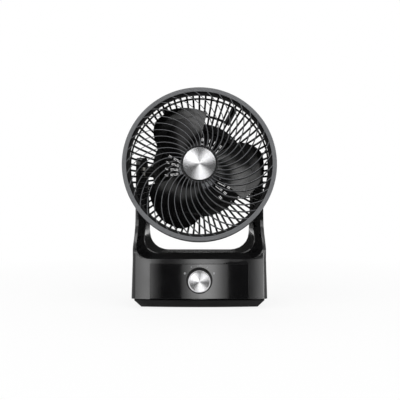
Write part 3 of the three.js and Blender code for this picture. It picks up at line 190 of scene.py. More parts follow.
class FanShape(bpy.types.PropertyGroup):
    """Sizes that a user might change."""

    spiral_ribs: count("Spiral ribs", "Curling ribs in the front grille", 38)
    spiral_width: length("Spiral rib width", "Thickness of a curling rib", 1.3 * MM)
    spiral_depth: length("Spiral rib depth", "Depth of a curling rib, front to back", 5.5 * MM)
    spiral_lean: length("Spiral rib lean", "How far a rib's back edge lies aside of its front",
                        0.9 * MM)
    cage_ribs: count("Cage ribs", "Straight ribs in the rear cage", 70)
    cage_rib_width: length("Cage rib width", "Thickness of a cage rib", 3.6 * MM)
    blade_thickness: length("Blade thickness", "Wall of an impeller blade", 2.2 * MM)
    edge: length("Edge radius", "Rounding of the moulded edges", 0.6 * MM)


class FanColours(bpy.types.PropertyGroup):
    """Colours of the finishes, before light falls on them. The black of the curling ribs' sides is painted shade,
    and the bars' grey is painted sheen.
    """

    shell: colour_of("Shell", "Satin moulded stand", "0e0e0f")
    panel: colour_of("Panel", "Glossy control panel", "0b0b0c")
    rim: colour_of("Rim", "Front grille and its rim", "5b5c5e")
    # The crowns keep the grille's grey, and the ribs' sides are painted black as shade.
    crown: colour_of("Rib crowns", "Brushed fronts of the curling ribs", "5c5d60")
    black: colour_of("Black", "Cage, base and small parts", "070708")
    # Painted sheen: this grey stands for the light on the flat fronts of the black bars.
    bar: colour_of("Bars", "Flat bars of the rear cage", "47484a")
    blade: colour_of("Blade", "Impeller", "0b0b0c")
    metal: colour_of("Metal", "Spun faces of cap and knob", "e4e4e6")


# ---- surfaces ----

def grid_surface(points, close_rows=False, close_columns=False):
    """Quads between neighbouring points of a (rows, columns, 3) grid.

    Point (i, j) has number i * columns + j, and a closed direction joins its last line to its
    first. Gives points, faces and, for each face corner, how far along rows and columns it lies.
    """
    rows, columns = points.shape[:2]
    i, j = np.meshgrid(np.arange(rows if close_rows else rows - 1),
                       np.arange(columns if close_columns else columns - 1), indexing="ij")
    row = np.stack((i, i + 1, i + 1, i), -1).reshape(-1, 4)
    column = np.stack((j, j, j + 1, j + 1), -1).reshape(-1, 4)
    faces = (row % rows) * columns + column % columns
    along = np.stack((row / max(rows - 1 + close_rows, 1),
                      column / max(columns - 1 + close_columns, 1)), -1)
    return points.reshape(-1, 3), faces, along


def rounded(outline, radius, steps=5, closed=False):
    """Each corner P of the outline becomes the curve (1-s)^2 A + 2s(1-s) P + s^2 B.

    A and B lie `radius` before and after P, or at 0.45 of a shorter side. An open outline keeps
    its two ends.
    """
    outline = np.asarray(outline, float)
    before, after = np.roll(outline, 1, 0), np.roll(outline, -1, 0)

    def towards(target):
        step = target - outline
        length = np.linalg.norm(step, axis=1, keepdims=True)
        return outline + step * np.minimum(radius / length, 0.45)

    s = np.linspace(0, 1, steps + 1)[None, :, None]
    first, last = towards(before)[:, None], towards(after)[:, None]
    curves = (1 - s) ** 2 * first + 2 * s * (1 - s) * outline[:, None] + s ** 2 * last
    if closed:
        return curves.reshape(-1, 2)
    return np.vstack((outline[:1], curves[1:-1].reshape(-1, 2), outline[-1:]))


def rounded_box(left, right, front, back, radius, steps=3):
    """Closed outline of a rectangle with rounded corners."""
    return rounded([(left, front), (right, front), (right, back), (left, back)], radius, steps,
                   closed=True)


def turned(radius, depth, angle):
    """Point at an angle from the top about Y: (r sin a, depth, r cos a)."""
    return np.stack(np.broadcast_arrays(radius * np.sin(angle), depth, radius * np.cos(angle)),
                    -1)


def spun(profile, segments=128, closed=False):
    """A profile of (radius, depth) turned all the way about Y."""
    radius, depth = np.asarray(profile, float).T
    angle = np.linspace(0, TURN, segments, endpoint=False)[:, None]
    return grid_surface(turned(radius, depth, angle), close_rows=True, close_columns=closed)


def directions(path):
    """Unit vectors along a path, one at each of its points."""
    along = np.gradient(path, axis=0)
    return along / np.linalg.norm(along, axis=1, keepdims=True)


def capped(sections):
    """Adds a row at each end of a (rows, columns, 3) sweep, drawn together at its middle."""
    ends = [np.broadcast_to(sections[k].mean(0), sections[k].shape)[None] for k in (0, -1)]
    return np.concatenate((ends[0], sections, ends[1]))


def about_axis(across, depth, out, sin, cos):
    """Point turned about Y: (across cos + out sin, depth, out cos - across sin)."""
    return np.stack((across * cos + out * sin, depth, out * cos - across * sin), -1)


def copies_about_axis(points, number):
    """Copy k of the points is turned by k/number of a turn about Y."""
    angle = TURN * np.arange(number) / number
    sin, cos = np.sin(angle)[:, None, None], np.cos(angle)[:, None, None]
    x, y, z = points[None, ..., 0], points[None, ..., 1], points[None, ..., 2]
    return about_axis(x, np.broadcast_to(y, (number, *y.shape[1:])), z, sin, cos)


def radial_bar(outline, radius, depth, angle):
    """Bar at an angle from the top: an (across, depth) outline carried out along the radius."""
    across = np.broadcast_to(outline[None, :, 0], (len(radius), len(outline)))
    out = np.broadcast_to(radius[:, None], across.shape)
    return capped(about_axis(across, depth[:, None] + outline[None, :, 1], out,
                             math.sin(angle), math.cos(angle)))


def swept(sections, number):
    """Closed surfaces of all copies of a sweep about the axis."""
    return [grid_surface(copy, close_columns=True) for copy in copies_about_axis(sections, number)]


def behind_rim(points):
    """Places points given across, behind the rim's front plane and up the head's face."""
    return PIVOT + (np.asarray(points) - (0, RIM_AHEAD, 0)) @ HEAD_AXES


def at_knob(points):
    """Places points given from the knob's seat."""
    return np.asarray(points) + KNOB_SEAT


def bowed_front(x):
    """The stand's front face: y = front + x^2 / (2 R)."""
    return PANEL_FRONT + np.square(x) / (2 * FRONT_BOW_RADIUS)


# ---- objects ----
CREASE = 30  # degrees, from which an edge of a CAD shape is rounded
LOOK_OF_SLOT = {
    "satin_black_shell": "shell", "gloss_panel": "panel", "rim_grey": "rim",
    "frame_black": "black", "blade_grey": "blade", "spun_aluminium": "metal",
    "plated_steel": "steel", "black_rubber": "rubber", "white_acetal": "acetal",
    "copper_wire": "copper", "bearing_bronze": "bronze",
}


def new_object(name, data):
    """An object of the scene."""
    made = bpy.data.objects.new(name, data)
    bpy.context.scene.collection.objects.link(made)
    return made


def shade(mesh, corner=35):
    """Smooth shading with creases where faces meet at more than `corner` degrees."""
    mesh.polygons.foreach_set("use_smooth", np.ones(len(mesh.polygons), bool))
    mesh.set_sharp_from_angle(angle=math.radians(corner))


def weld(mesh, distance=1e-6, turn_out=True, flat_angle=0):
    """Merges points within a distance, and turns the faces of each closed shell outwards.

    Faces that meet at less than flat_angle become one.
    """
    work = bmesh.new()
    work.from_mesh(mesh)
    bmesh.ops.remove_doubles(work, verts=work.verts, dist=distance)
    if turn_out:
        bmesh.ops.recalc_face_normals(work, faces=work.faces)
    if flat_angle:
        bmesh.ops.dissolve_limit(work, angle_limit=flat_angle, verts=work.verts,
                                 edges=work.edges)
    work.to_mesh(mesh)
    work.free()


def new_piece(name, surfaces, place, body, slot, stands_for=(), look=None):
    """One object from closed surfaces, with the way along each surface as its UV map."""
    points, faces, along, start = [], [], [], 0
    for surface in surfaces:
        points.append(place(surface[0]))
        faces.append(surface[1] + start)
        along.append(surface[2])
        start += len(surface[0])
    mesh = bpy.data.meshes.new(name)
    mesh.from_pydata(np.concatenate(points).tolist(), [], np.concatenate(faces).tolist())
    layer = mesh.uv_layers.new(name="Surface")
    layer.data.foreach_set("uv", np.concatenate(along).reshape(-1))
    weld(mesh)
    shade(mesh)
    return settle(name, mesh, body, slot, stands_for, look)


def settle(name, mesh, body, slot, stands_for=(), look=None):
    """Links an object, gives it its slot's finish or another, ties it to its body and hides the CAD parts that it
    stands for.
    """
    piece = new_object(name, mesh)
    mesh.materials.clear()
    mesh.materials.append(finishes()[look or LOOK_OF_SLOT[slot]])
    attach(piece, body)
    if stands_for:
        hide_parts(*stands_for)
    return piece


def softened_copy(node, name, body, slot, edge, steps=3):
    """A CAD node again, as one welded shell with rounded edges."""
    mesh = frame["nodes"][node].data.copy()
    mesh.name = name
    weld(mesh, 2e-6, turn_out=False, flat_angle=math.radians(0.4))
    shade(mesh, CREASE)
    piece = settle(name, mesh, body, slot, (node,))
    bevel = piece.modifiers.new("rounded edges", "BEVEL")
    bevel.width = edge
    bevel.segments = steps
    bevel.limit_method = "ANGLE"
    bevel.angle_limit = math.radians(CREASE)
    bevel.harden_normals = True
    return piece


# ---- finishes ----
GROOVE_LEAN = 0.16
SPUN_RINGS = 60  # along a disc's profile: about 0.8 mm apart on the cap, 0.5 mm on the knob
# Painted shade on the curling ribs: away from the crown, their sides are coloured black where less light falls.
CROWN_PLACE = 0.225
PAINTED_SHADE_FULL = 0.105  # how far from the crown the painted shade of the sides is full
PAINTED_SHADE_STARTS = 0.055  # and within how far of it the crown keeps the grille's grey
WIRE = 0.6 * MM


def add_node(tree, kind, inputs=None, **settings):
    """Adds a node, sets its own properties, and sets or links its inputs by name or number."""
    made = tree.nodes.new(kind)
    for key, value in settings.items():
        setattr(made, key, value)
    for key, value in (inputs or {}).items():
        socket = made.inputs[key]
        if isinstance(value, bpy.types.NodeSocket):
            tree.links.new(value, socket)
        else:
            socket.default_value = value
    return made


def parts_of(material):
    """The node tree of a finish and its shader."""
    return material.node_tree, material.node_tree.nodes["Principled BSDF"]


def finish(name, colour, roughness, metallic=0.0, ior=1.5, patches=None, relief=None, **more):
    """A material with one Principled shader. Constant values sit on the shader's sockets.

    patches is (size, drift of colour, drift of roughness), and relief is (size, height).
    """
    material = bpy.data.materials.new(name)
    material.use_nodes = True
    tree, shader = parts_of(material)
    values = {"Base Color": (*colour, 1), "Roughness": roughness, "Metallic": metallic, **more}
    if not metallic:
        values["IOR"] = ior
    for key, value in values.items():
        shader.inputs[key].default_value = value
    if patches or relief:
        place = add_node(tree, "ShaderNodeTexCoord").outputs["Object"]
    if patches:
        mottle(tree, shader, place, colour, roughness, *patches)
    if relief:
        grain(tree, shader, place, *relief)
    return material


def mottle(tree, shader, place, colour, roughness, size, colour_drift, gloss_drift):
    """Patches of `size` metres in which colour and roughness drift a little."""
    noise = add_node(tree, "ShaderNodeTexNoise",
                     {"Vector": place, "Scale": 1 / size, "Detail": 3.0}).outputs["Fac"]
    dark = tuple(c * (1 - colour_drift) for c in colour)
    light = tuple(min(1, c * (1 + colour_drift)) for c in colour)
    mix = add_node(tree, "ShaderNodeMix", {0: noise, 6: (*dark, 1), 7: (*light, 1)},
                   data_type="RGBA")
    tree.links.new(mix.outputs[2], shader.inputs["Base Color"])
    gloss = add_node(tree, "ShaderNodeMapRange",
                     {"Value": noise, "From Min": 0.3, "From Max": 0.7,
                      "To Min": roughness - gloss_drift, "To Max": roughness + gloss_drift})
    tree.links.new(gloss.outputs["Result"], shader.inputs["Roughness"])


def grain(tree, shader, place, size, height):
    """Fine relief of a moulded face: noise with `size` metres between its bumps.

    A real mould's grain is about 0.1 mm. It is drawn a few times coarser, so that it shows.
    """
    noise = add_node(tree, "ShaderNodeTexNoise",
                     {"Vector": place, "Scale": 1 / size, "Detail": 2.0}).outputs["Fac"]
    bump = add_node(tree, "ShaderNodeBump", {"Height": noise, "Distance": height, "Strength": 1.0})
    tree.links.new(bump.outputs["Normal"], shader.inputs["Normal"])


def satin_abs(colour):
    """ABS moulded in a spark-eroded mould: an even satin face with 0.5 mm grain."""
    return finish("satin moulded ABS", colour, 0.16, patches=(30 * MM, 0.05, 0.02),
                  relief=(0.5 * MM, 0.001 * MM))


def gloss_acrylic(colour):
    """Acrylic panel, polished: a dark mirror with a faint haze of wiping."""
    return finish("polished black acrylic", colour, 0.07, ior=1.49,
                  patches=(18 * MM, 0.08, 0.02))


def grey_pp(colour):
    """Polypropylene, moulded grey: soft sheen with a fine 0.4 mm grain."""
    return finish("moulded grey polypropylene", colour, 0.45, ior=1.49,
                  patches=(25 * MM, 0.05, 0.03), relief=(0.4 * MM, 0.004 * MM))


def ribs_with_painted_shade(colour, crown):
    """Grey ribs whose sides are painted black as shade, while the rounded crown keeps the grille's grey.

    Along a rib's outline the front runs from 0 to 0.45, with its crown at CROWN_PLACE.
    """
    material = finish("black ribs with grey crowns", colour, 0.45, ior=1.49,
                      relief=(0.4 * MM, 0.004 * MM))
    tree, shader = parts_of(material)
    way = add_node(tree, "ShaderNodeUVMap", uv_map="Surface").outputs["UV"]
    around = add_node(tree, "ShaderNodeSeparateXYZ", {"Vector": way}).outputs["Y"]
    off = add_node(tree, "ShaderNodeMath", {0: around, 1: CROWN_PLACE}, operation="SUBTRACT")
    away = add_node(tree, "ShaderNodeMath", {0: off.outputs[0]}, operation="ABSOLUTE")
    # Share of the crown's grey; beyond it the sides take black as painted shade.
    crown_unshaded = add_node(tree, "ShaderNodeMapRange",
                     {"Value": away.outputs[0], "From Min": PAINTED_SHADE_FULL,
                      "From Max": PAINTED_SHADE_STARTS}).outputs["Result"]
    mix = add_node(tree, "ShaderNodeMix", {0: crown_unshaded, 6: (*colour, 1), 7: (*crown, 1)},
                   data_type="RGBA")
    tree.links.new(mix.outputs[2], shader.inputs["Base Color"])
    return material


def dull_pp(name, colour):
    """Moulded polypropylene: dull sheen with a fine 0.4 mm grain."""
    return finish(name, colour, 0.5, ior=1.40, patches=(22 * MM, 0.06, 0.04),
                  relief=(0.4 * MM, 0.004 * MM))


def blade_abs(colour):
    """ABS blades from a polished mould: smooth half gloss with slight flow marks."""
    return finish("half gloss ABS blades", colour, 0.20, ior=1.50, patches=(40 * MM, 0.06, 0.02))


def spun_aluminium(colour):
    """Aluminium disc turned on a lathe: its fine rings stretch highlights into radial fans.

    The tool leaves each ring leaning outwards by GROOVE_LEAN, so the normal is N + lean R,
    with R = N x T pointing away from the axis and T the way around it. Noise along the radius
    varies the lean from ring to ring. Real rings are about 0.1 mm apart and are drawn coarser.
    """
    material = finish("spun aluminium", colour, 0.25, metallic=1.0, Anisotropic=0.85)
    tree, shader = parts_of(material)
    around = add_node(tree, "ShaderNodeTangent", direction_type="UV_MAP",
                      uv_map="Surface").outputs["Tangent"]
    normal = add_node(tree, "ShaderNodeNewGeometry").outputs["Normal"]
    outward = add_node(tree, "ShaderNodeVectorMath", {0: normal, 1: around},
                       operation="CROSS_PRODUCT").outputs["Vector"]
    way = add_node(tree, "ShaderNodeUVMap", uv_map="Surface").outputs["UV"]
    across = add_node(tree, "ShaderNodeMapping",
                      {"Vector": way, "Scale": (0.0, 1.0, 0.0)}).outputs["Vector"]
    rings = add_node(tree, "ShaderNodeTexNoise",
                     {"Vector": across, "Scale": SPUN_RINGS, "Detail": 2.0}).outputs["Fac"]
    lean = add_node(tree, "ShaderNodeMapRange",
                    {"Value": rings, "From Min": 0.3, "From Max": 0.7,
                     "To Min": GROOVE_LEAN * 0.9, "To Max": GROOVE_LEAN * 1.1})
    leaning = add_node(tree, "ShaderNodeVectorMath",
                       {0: outward, "Scale": lean.outputs["Result"]}, operation="SCALE")
    tilted = add_node(tree, "ShaderNodeVectorMath",
                      {0: normal, 1: leaning.outputs["Vector"]}, operation="ADD")
    unit = add_node(tree, "ShaderNodeVectorMath", {0: tilted.outputs["Vector"]},
                    operation="NORMALIZE")
    tree.links.new(unit.outputs["Vector"], shader.inputs["Normal"])
    tree.links.new(around, shader.inputs["Tangent"])
    return material


def zinc_steel():
    """Zinc plated steel: cool dull metal with cloudy spangle of about 4 mm."""
    return finish("zinc plated steel", srgb("b4b6ba"), 0.35, metallic=1.0,
                  patches=(4 * MM, 0.12, 0.08))


def soft_rubber():
    """Black rubber: matt, with a dusty 0.8 mm grain."""
    return finish("black rubber", srgb("161616"), 0.8, ior=1.52, patches=(6 * MM, 0.15, 0.05),
                  relief=(0.8 * MM, 0.02 * MM))


def white_acetal():
    """Acetal: milky white, slightly waxy."""
    return finish("white acetal", srgb("e2dfd6"), 0.35, ior=1.48, patches=(8 * MM, 0.03, 0.05))


def enamelled_wire():
    """Enamelled copper wire, 0.6 mm, wound side by side round the motor's axis.

    The wave node repeats every 1/20 of its scale, so its scale is 1 / (20 WIRE).
    """
    material = finish("enamelled copper wire", srgb("9a5428"), 0.3, metallic=1.0,
                      patches=(5 * MM, 0.2, 0.06))
    tree, shader = parts_of(material)
    place = add_node(tree, "ShaderNodeTexCoord").outputs["Object"]
    wires = add_node(tree, "ShaderNodeTexWave",
                     {"Vector": place, "Scale": 1 / WIRE / 20, "Distortion": 1.0},
                     wave_type="BANDS", bands_direction="Y")
    bump = add_node(tree, "ShaderNodeBump",
                    {"Height": wires.outputs["Fac"], "Distance": WIRE / 3, "Strength": 0.8})
    tree.links.new(bump.outputs["Normal"], shader.inputs["Normal"])
    return material


def sintered_bronze():
    """Sintered bronze bearings: dull warm metal with 0.2 mm pores."""
    return finish("sintered bronze", srgb("b08d4e"), 0.5, metallic=1.0,
                  patches=(2 * MM, 0.15, 0.08), relief=(0.2 * MM, 0.02 * MM))


def pale_ink():
    """Pad printed ink: flat pale grey, slightly uneven."""
    return finish("pad printed ink", srgb("8e8f91"), 0.5, patches=(1 * MM, 0.05, 0.05))


def black_felt():
    """Black felt: takes up light and shows as dark in the plastic's sheen."""
    return finish("black felt flag", srgb("0a0a0a"), 0.95, patches=(50 * MM, 0.1, 0.04))


FINISHES = {}


def finishes():
    """The finishes, made once."""
    if not FINISHES:
        chosen = bpy.context.scene.fan_colours
        colour = {name: tuple(getattr(chosen, name)) for name in FanColours.__annotations__}
        FINISHES.update(
            shell=satin_abs(colour["shell"]), panel=gloss_acrylic(colour["panel"]),
            # The ribs' black sides are painted shade on the grille's grey plastic.
            rim=grey_pp(colour["rim"]), ribs=ribs_with_painted_shade(colour["black"], colour["crown"]),
            black=dull_pp("moulded black polypropylene", colour["black"]),
            # The bars' grey is painted sheen, the light their flat fronts catch, laid on black plastic.
            bar=dull_pp("moulded dark grey polypropylene", colour["bar"]),
            blade=blade_abs(colour["blade"]), metal=spun_aluminium(colour["metal"]),
            steel=zinc_steel(), rubber=soft_rubber(), acetal=white_acetal(),
            copper=enamelled_wire(), bronze=sintered_bronze(), ink=pale_ink())
    return FINISHES


# ---- pieces ----

def spiral_angle(radius):
    """Angle of a curling rib: start - sweep * share^curve, share of the way to SPIRAL_END."""
    share = np.maximum(0, (radius - GRILLE_HUB_RADIUS) / (SPIRAL_END - GRILLE_HUB_RADIUS))
    return SPIRAL_START - SPIRAL_SWEEP * share ** SPIRAL_CURVE


def curling_ribs(shape, steps=44):
    """Ribs of a leaning round-nosed section, carried along the curl.

    At radius r the centre lies at angle spiral_angle(r). The section is a rounded outline of
    (aside, depth), moved along the unit vector square to the curl.
    """
    radius = np.linspace(GRILLE_HUB_RADIUS - 2 * MM, RIM_RADIUS - SKIRT_WALL - 1 * MM, steps)
    angle = spiral_angle(radius)
    centre = np.stack((radius * np.sin(angle), radius * np.cos(angle)), -1)
    along = directions(centre)
    aside = np.stack((along[:, 1], -along[:, 0]), -1)
    half, back = shape.spiral_width / 2, SPIRAL_FRONT + shape.spiral_depth
    outline = rounded([(-half, SPIRAL_FRONT), (half, SPIRAL_FRONT),
                       (half + shape.spiral_lean, back),
                       (-half * 0.6 + shape.spiral_lean, back)], half * 0.95, 4, closed=True)
    flat = centre[:, None] + aside[:, None] * outline[None, :, :1]
    depth = np.broadcast_to(outline[None, :, 1], flat.shape[:2])
    return swept(capped(np.stack((flat[..., 0], depth, flat[..., 1]), -1)), shape.spiral_ribs)


class FAN_OT_front_grille(bpy.types.Operator):
    """Adds the rim, the hub plate and the curling ribs of the front grille"""

    bl_idname = "fan.front_grille"
    bl_label = "Front grille"

    def execute(self, context):
        shape = context.scene.fan_shape
        inner, skirt = RIM_RADIUS - RIM_WIDTH, RIM_RADIUS - SKIRT_WALL
        rim = rounded([(inner, RIM_NOSE), (RIM_RADIUS, 0), (RIM_RADIUS, SKIRT_DEPTH),
                       (skirt, SKIRT_DEPTH), (skirt, RIM_WALL), (inner, RIM_WALL)],
                      1.4 * MM, 6, closed=True)
        seat = CAP_RADIUS + CAP_CLEARANCE
        hub = rounded([(0, GRILLE_HUB_FLOOR), (seat, GRILLE_HUB_FLOOR), (seat, GRILLE_HUB_LIP),
                       (GRILLE_HUB_RADIUS, GRILLE_HUB_FACE), (GRILLE_HUB_RADIUS, GRILLE_HUB_BACK),
                       (0, GRILLE_HUB_BACK)], 0.6 * MM, 4)
        for name, surfaces, slot, look in (
                ("front_grille_rim", [spun(rim, 256, closed=True)], "rim_grey", "rim"),
                ("front_grille_hub", [spun(hub)], "frame_black", "black"),
                ("front_grille_ribs", curling_ribs(shape), "rim_grey", "ribs")):
            new_piece(name, surfaces, behind_rim, "head", slot, ("front_grille",), look)
        return {"FINISHED"}


def domed_face(radius, bevel, crest, rise, shoulder, back, corner):
    """Profile of a spun disc: depth crest + rise c^2 at share c of its way out, then an edge."""
    share = np.linspace(0, 1, 14)[:, None]
    dome = np.hstack((share * (radius - bevel), crest + rise * share ** 2))
    edge = rounded([dome[-1], (radius, shoulder), (radius, back), (0, back)], corner, 4)
    return np.vstack((dome, edge[1:]))


class FAN_OT_hub_cap(bpy.types.Operator):
    """Adds the spun metal cap at the middle of the front grille"""

    bl_idname = "fan.hub_cap"
    bl_label = "Hub cap"

    def execute(self, context):
        cap = domed_face(CAP_RADIUS, bevel=0.9 * MM, crest=-0.9 * MM, rise=0.7 * MM,
                         shoulder=0.9 * MM, back=2.7 * MM, corner=0.5 * MM)
        new_piece("spun_hub_cap", [spun(cap, 192)], behind_rim, "head", "spun_aluminium",
                  ("hub_cap",))
        return {"FINISHED"}


def cage_ribs(shape):
    """Straight ribs: a rounded section carried along the middle of the bowl's wall.

    The path is a rounded outline of (radius, depth). The section spans `across` the head and
    the path's own normal.
    """
    middle = np.stack((BOWL_RADII, BOWL_DEPTHS), -1) - CAGE_RIB_INSET
    path = rounded(np.vstack((CAGE_RIB_START, middle)), CAGE_RIB_BEND, 6)
    along = directions(path)
    normal = np.stack((-along[:, 1], along[:, 0]), -1)
    half, deep = shape.cage_rib_width / 2, CAGE_RIB_HALF_DEPTH
    outline = rounded([(-half, -deep), (half, -deep), (half * 0.8, deep), (-half * 0.8, deep)],
                      half * 0.8, 3, closed=True)
    flat = path[:, None] + normal[:, None] * outline[None, :, 1:]
    across = np.broadcast_to(outline[None, :, 0], flat.shape[:2])
    return swept(capped(np.stack((across, flat[..., 1], flat[..., 0]), -1)), shape.cage_ribs)


def bowl_depth(radius):
    """Depth of the bowl's outer face, straight from each of its radii to the next."""
    return np.interp(radius, BOWL_RADII[::-1], BOWL_DEPTHS[::-1])


def handle_bar(side):
    """Flat bar up the bowl, HANDLE_ANGLE to one side of the top, with rounded edges."""
    radius = np.linspace(HANDLE_ARC_RADIUS, SHOULDER_RADIUS, 16)
    outline = rounded_box(-HANDLE_WIDTH / 2, HANDLE_WIDTH / 2, -HANDLE_DEPTH, 0, 1 * MM)
    return grid_surface(radial_bar(outline, radius, bowl_depth(radius), side * HANDLE_ANGLE),
                        close_columns=True)


def handle_arc():
    """Round bar between the two flat bars, along a circle about the head's axis."""
    reach = HANDLE_ANGLE + HANDLE_WIDTH / 2 / HANDLE_ARC_RADIUS
    angle = np.linspace(-reach, reach, 40)[:, None]
    half = HANDLE_ARC_WIDTH / 2
    outline = rounded_box(-half, half, -HANDLE_DEPTH, HANDLE_ARC_RISE, 1.2 * MM)
    points = turned(HANDLE_ARC_RADIUS + outline[:, 0],
                    bowl_depth(HANDLE_ARC_RADIUS) + outline[:, 1], angle)
    return grid_surface(capped(points), close_columns=True)


def cage_ring():
    """Ring behind the skirt, with the shroud that stands in the skirt."""
    low, high = SKIRT_DEPTH + np.array(CAGE_RING)
    outer = RIM_RADIUS - SKIRT_WALL - CAGE_FIT
    inner, lip = outer - CAGE_WALL, outer - SHROUD_LIP
    outline = [(lip, SHROUD_FRONT), (outer, SHROUD_FRONT), (outer, low), (CAGE_RADIUS, low),
               (CAGE_RADIUS, high), (inner, high), (inner, SHROUD_FRONT + CAGE_WALL),
               (lip, SHROUD_FRONT + CAGE_WALL)]
    return spun(rounded(outline, 0.9 * MM, 4, closed=True), RING_SEGMENTS, closed=True)


def ring_surface(inner, outer, front, back):
    """Ring of rectangular section with rounded edges."""
    return spun(rounded_box(inner, outer, front, back, 0.8 * MM, 4), RING_SEGMENTS, closed=True)


def louvres():
    """Thin slats, one along the middle of each vent of the motor cover."""
    outline = rounded_box(-SLAT_WIDTH / 2, SLAT_WIDTH / 2, *SLAT_DEPTHS, 0.5 * MM)
    slat = radial_bar(outline, SLAT_REACH, np.full(2, COVER_BACK), math.pi / COVER_VENTS)
    return swept(slat, COVER_VENTS)


class FAN_OT_rear_cage(bpy.types.Operator):
    """Adds the rings, straight ribs and bars of the rear cage, and the cover's louvres"""

    bl_idname = "fan.rear_cage"
    bl_label = "Rear cage"

    def execute(self, context):
        shape = context.scene.fan_shape
        half, deep = SHOULDER_RING
        rings = [
            cage_ring(),
            ring_surface(SHOULDER_RADIUS - half, SHOULDER_RADIUS + half,
                         SHOULDER_DEPTH - deep, SHOULDER_DEPTH + deep),
            ring_surface(MOTOR_RING_RADIUS - MOTOR_RING_WIDTH, MOTOR_RING_RADIUS,
                         MOTOR_RING_DEPTH - MOTOR_RING_WALL, MOTOR_RING_DEPTH),
        ]
        for name, surfaces, stands_for, look in (
                ("rear_cage_moulding", [*rings, *cage_ribs(shape), handle_arc()],
                 ("rear_grille",), "black"),
                # Bars coloured grey as painted sheen of their lit flat fronts.
                ("rear_cage_bars", [handle_bar(1), handle_bar(-1)], ("rear_grille",), "bar"),
                ("motor_cover_louvres", louvres(), (), "black")):
            new_piece(name, surfaces, behind_rim, "head", "frame_black", stands_for, look)
        return {"FINISHED"}


def blade(shape, rows=36, around=56):
    """One blade: a thin rounded section along the chord, carried from root to tip.

    At way w around the section, the chord is c = (1 - cos w) / 2, and the face lies at
    |sin w|^0.35 of half the wall. The reach falls off as nose (1 - c/0.27)^1.75 before and
    tail (2c - 1)^1.1 behind. The angle runs from the leading to the trailing edge, and the
    depth as leading + (trailing - leading) c^camber.
    """
    way = TURN * np.arange(around) / around
    chord = (0.5 - 0.5 * np.cos(way))[None]
    face = (np.sign(np.sin(way)) * np.abs(np.sin(way)) ** 0.35)[None]
    span = np.linspace(0, 1, rows)[:, None]
    nose = BLADE_NOSE * np.maximum(0, 1 - chord / 0.27) ** 1.75
    tail = BLADE_TAIL * np.maximum(0, 2 * chord - 1) ** 1.1
    root = HUB_RADIUS - 1.5 * MM
    radius = root + (TIP_RADIUS - nose - tail - root) * span
    out = (radius - root) / (TIP_RADIUS - root)
    leading = LEADING_ANGLE + LEADING_LEAN * out
    trailing = LEADING_ANGLE + CHORD_ANGLE + TRAILING_LEAN * out
    angle = leading + (trailing - leading) * chord
    low = LEADING_ROOT_DEPTH + (LEADING_TIP_DEPTH - LEADING_ROOT_DEPTH) * out
    high = TRAILING_ROOT_DEPTH + (TRAILING_TIP_DEPTH - TRAILING_ROOT_DEPTH) * out
    depth = low + (high - low) * chord ** BLADE_CAMBER
    depth = depth + face * shape.blade_thickness / 2
    return capped(turned(radius, depth, angle))


class FAN_OT_impeller(bpy.types.Operator):
    """Adds the impeller: its hub and three cupped blades"""

    bl_idname = "fan.impeller"
    bl_label = "Impeller"

    def execute(self, context):
        shape = context.scene.fan_shape
        wall, plate = HUB_RADIUS - HUB_WALL, HUB_FRONT + HUB_PLATE
        sleeve, end = HUB_BORE + SLEEVE_WALL, HUB_FRONT + SLEEVE_LENGTH
        hub = rounded([(HUB_BORE, HUB_FRONT), (HUB_RADIUS, HUB_FRONT), (HUB_RADIUS, HUB_BACK),
                       (wall, HUB_BACK), (wall, plate), (sleeve, plate), (sleeve, end),
                       (HUB_BORE, end)], 2.4 * MM, 5, closed=True)
        new_piece("impeller_moulding", [spun(hub, closed=True), *swept(blade(shape), 3)],
                  behind_rim, "fan_rotor", "blade_grey", ("impeller",))
        return {"FINISHED"}


class FAN_OT_knob(bpy.types.Operator):
    """Adds the selector knob, its spun metal face and the ring under it"""

    bl_idname = "fan.knob"
    bl_label = "Selector knob"

    def execute(self, context):
        face, front = KNOB_RADIUS - KNOB_WALL, -KNOB_LENGTH
        seat = face + 0.2 * MM
        cup = rounded([(0, 0), (KNOB_RADIUS, 0), (KNOB_RADIUS - 0.15 * MM, front), (seat, front),
                       (seat, front + 1.4 * MM), (0, front + 1.4 * MM)], 0.35 * MM, 4)
        new_piece("knob_cup", [spun(cup, 160)], at_knob, "knob", "frame_black",
                  ("selector_knob",))
        disc = domed_face(face, bevel=0.8 * MM, crest=front - 0.9 * MM, rise=0.4 * MM,
                          shoulder=front + 0.1 * MM, back=front + 0.9 * MM, corner=0.3 * MM)
        new_piece("knob_spun_face", [spun(disc, 160)], at_knob, "knob", "spun_aluminium",
                  ("knob_face",))
        low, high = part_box("dial_bezel")
        centre = np.array((0, high.y, KNOB_SEAT[2]))
        ring = rounded_box(BEZEL_BORE, BEZEL_RADIUS, 0, low.y - high.y, 0.5 * MM, 4)
        new_piece("dial_ring", [spun(ring, 160, closed=True)], lambda p: p + centre, "stand",
                  "frame_black", ("dial_bezel",))
        return {"FINISHED"}


def print_on_panel(points):
    """Lays points drawn around the knob's axis on the bowed panel, raised by their own depth."""
    placed = np.asarray(points) + (0, 0, KNOB_SEAT[2])
    placed[:, 1] += bowed_front(placed[:, 0])
    return placed


def dot(radius, angle, circle):
    """Small flat disc on a circle, at an angle clockwise from the top of the dial."""
    profile = [(0, -MARK_LIFT), (radius, -MARK_LIFT), (radius, MARK_LIFT), (0, MARK_LIFT)]
    points, faces, along = spun(profile, 32)
    return points + (circle * math.sin(angle), 0, circle * math.cos(angle)), faces, along


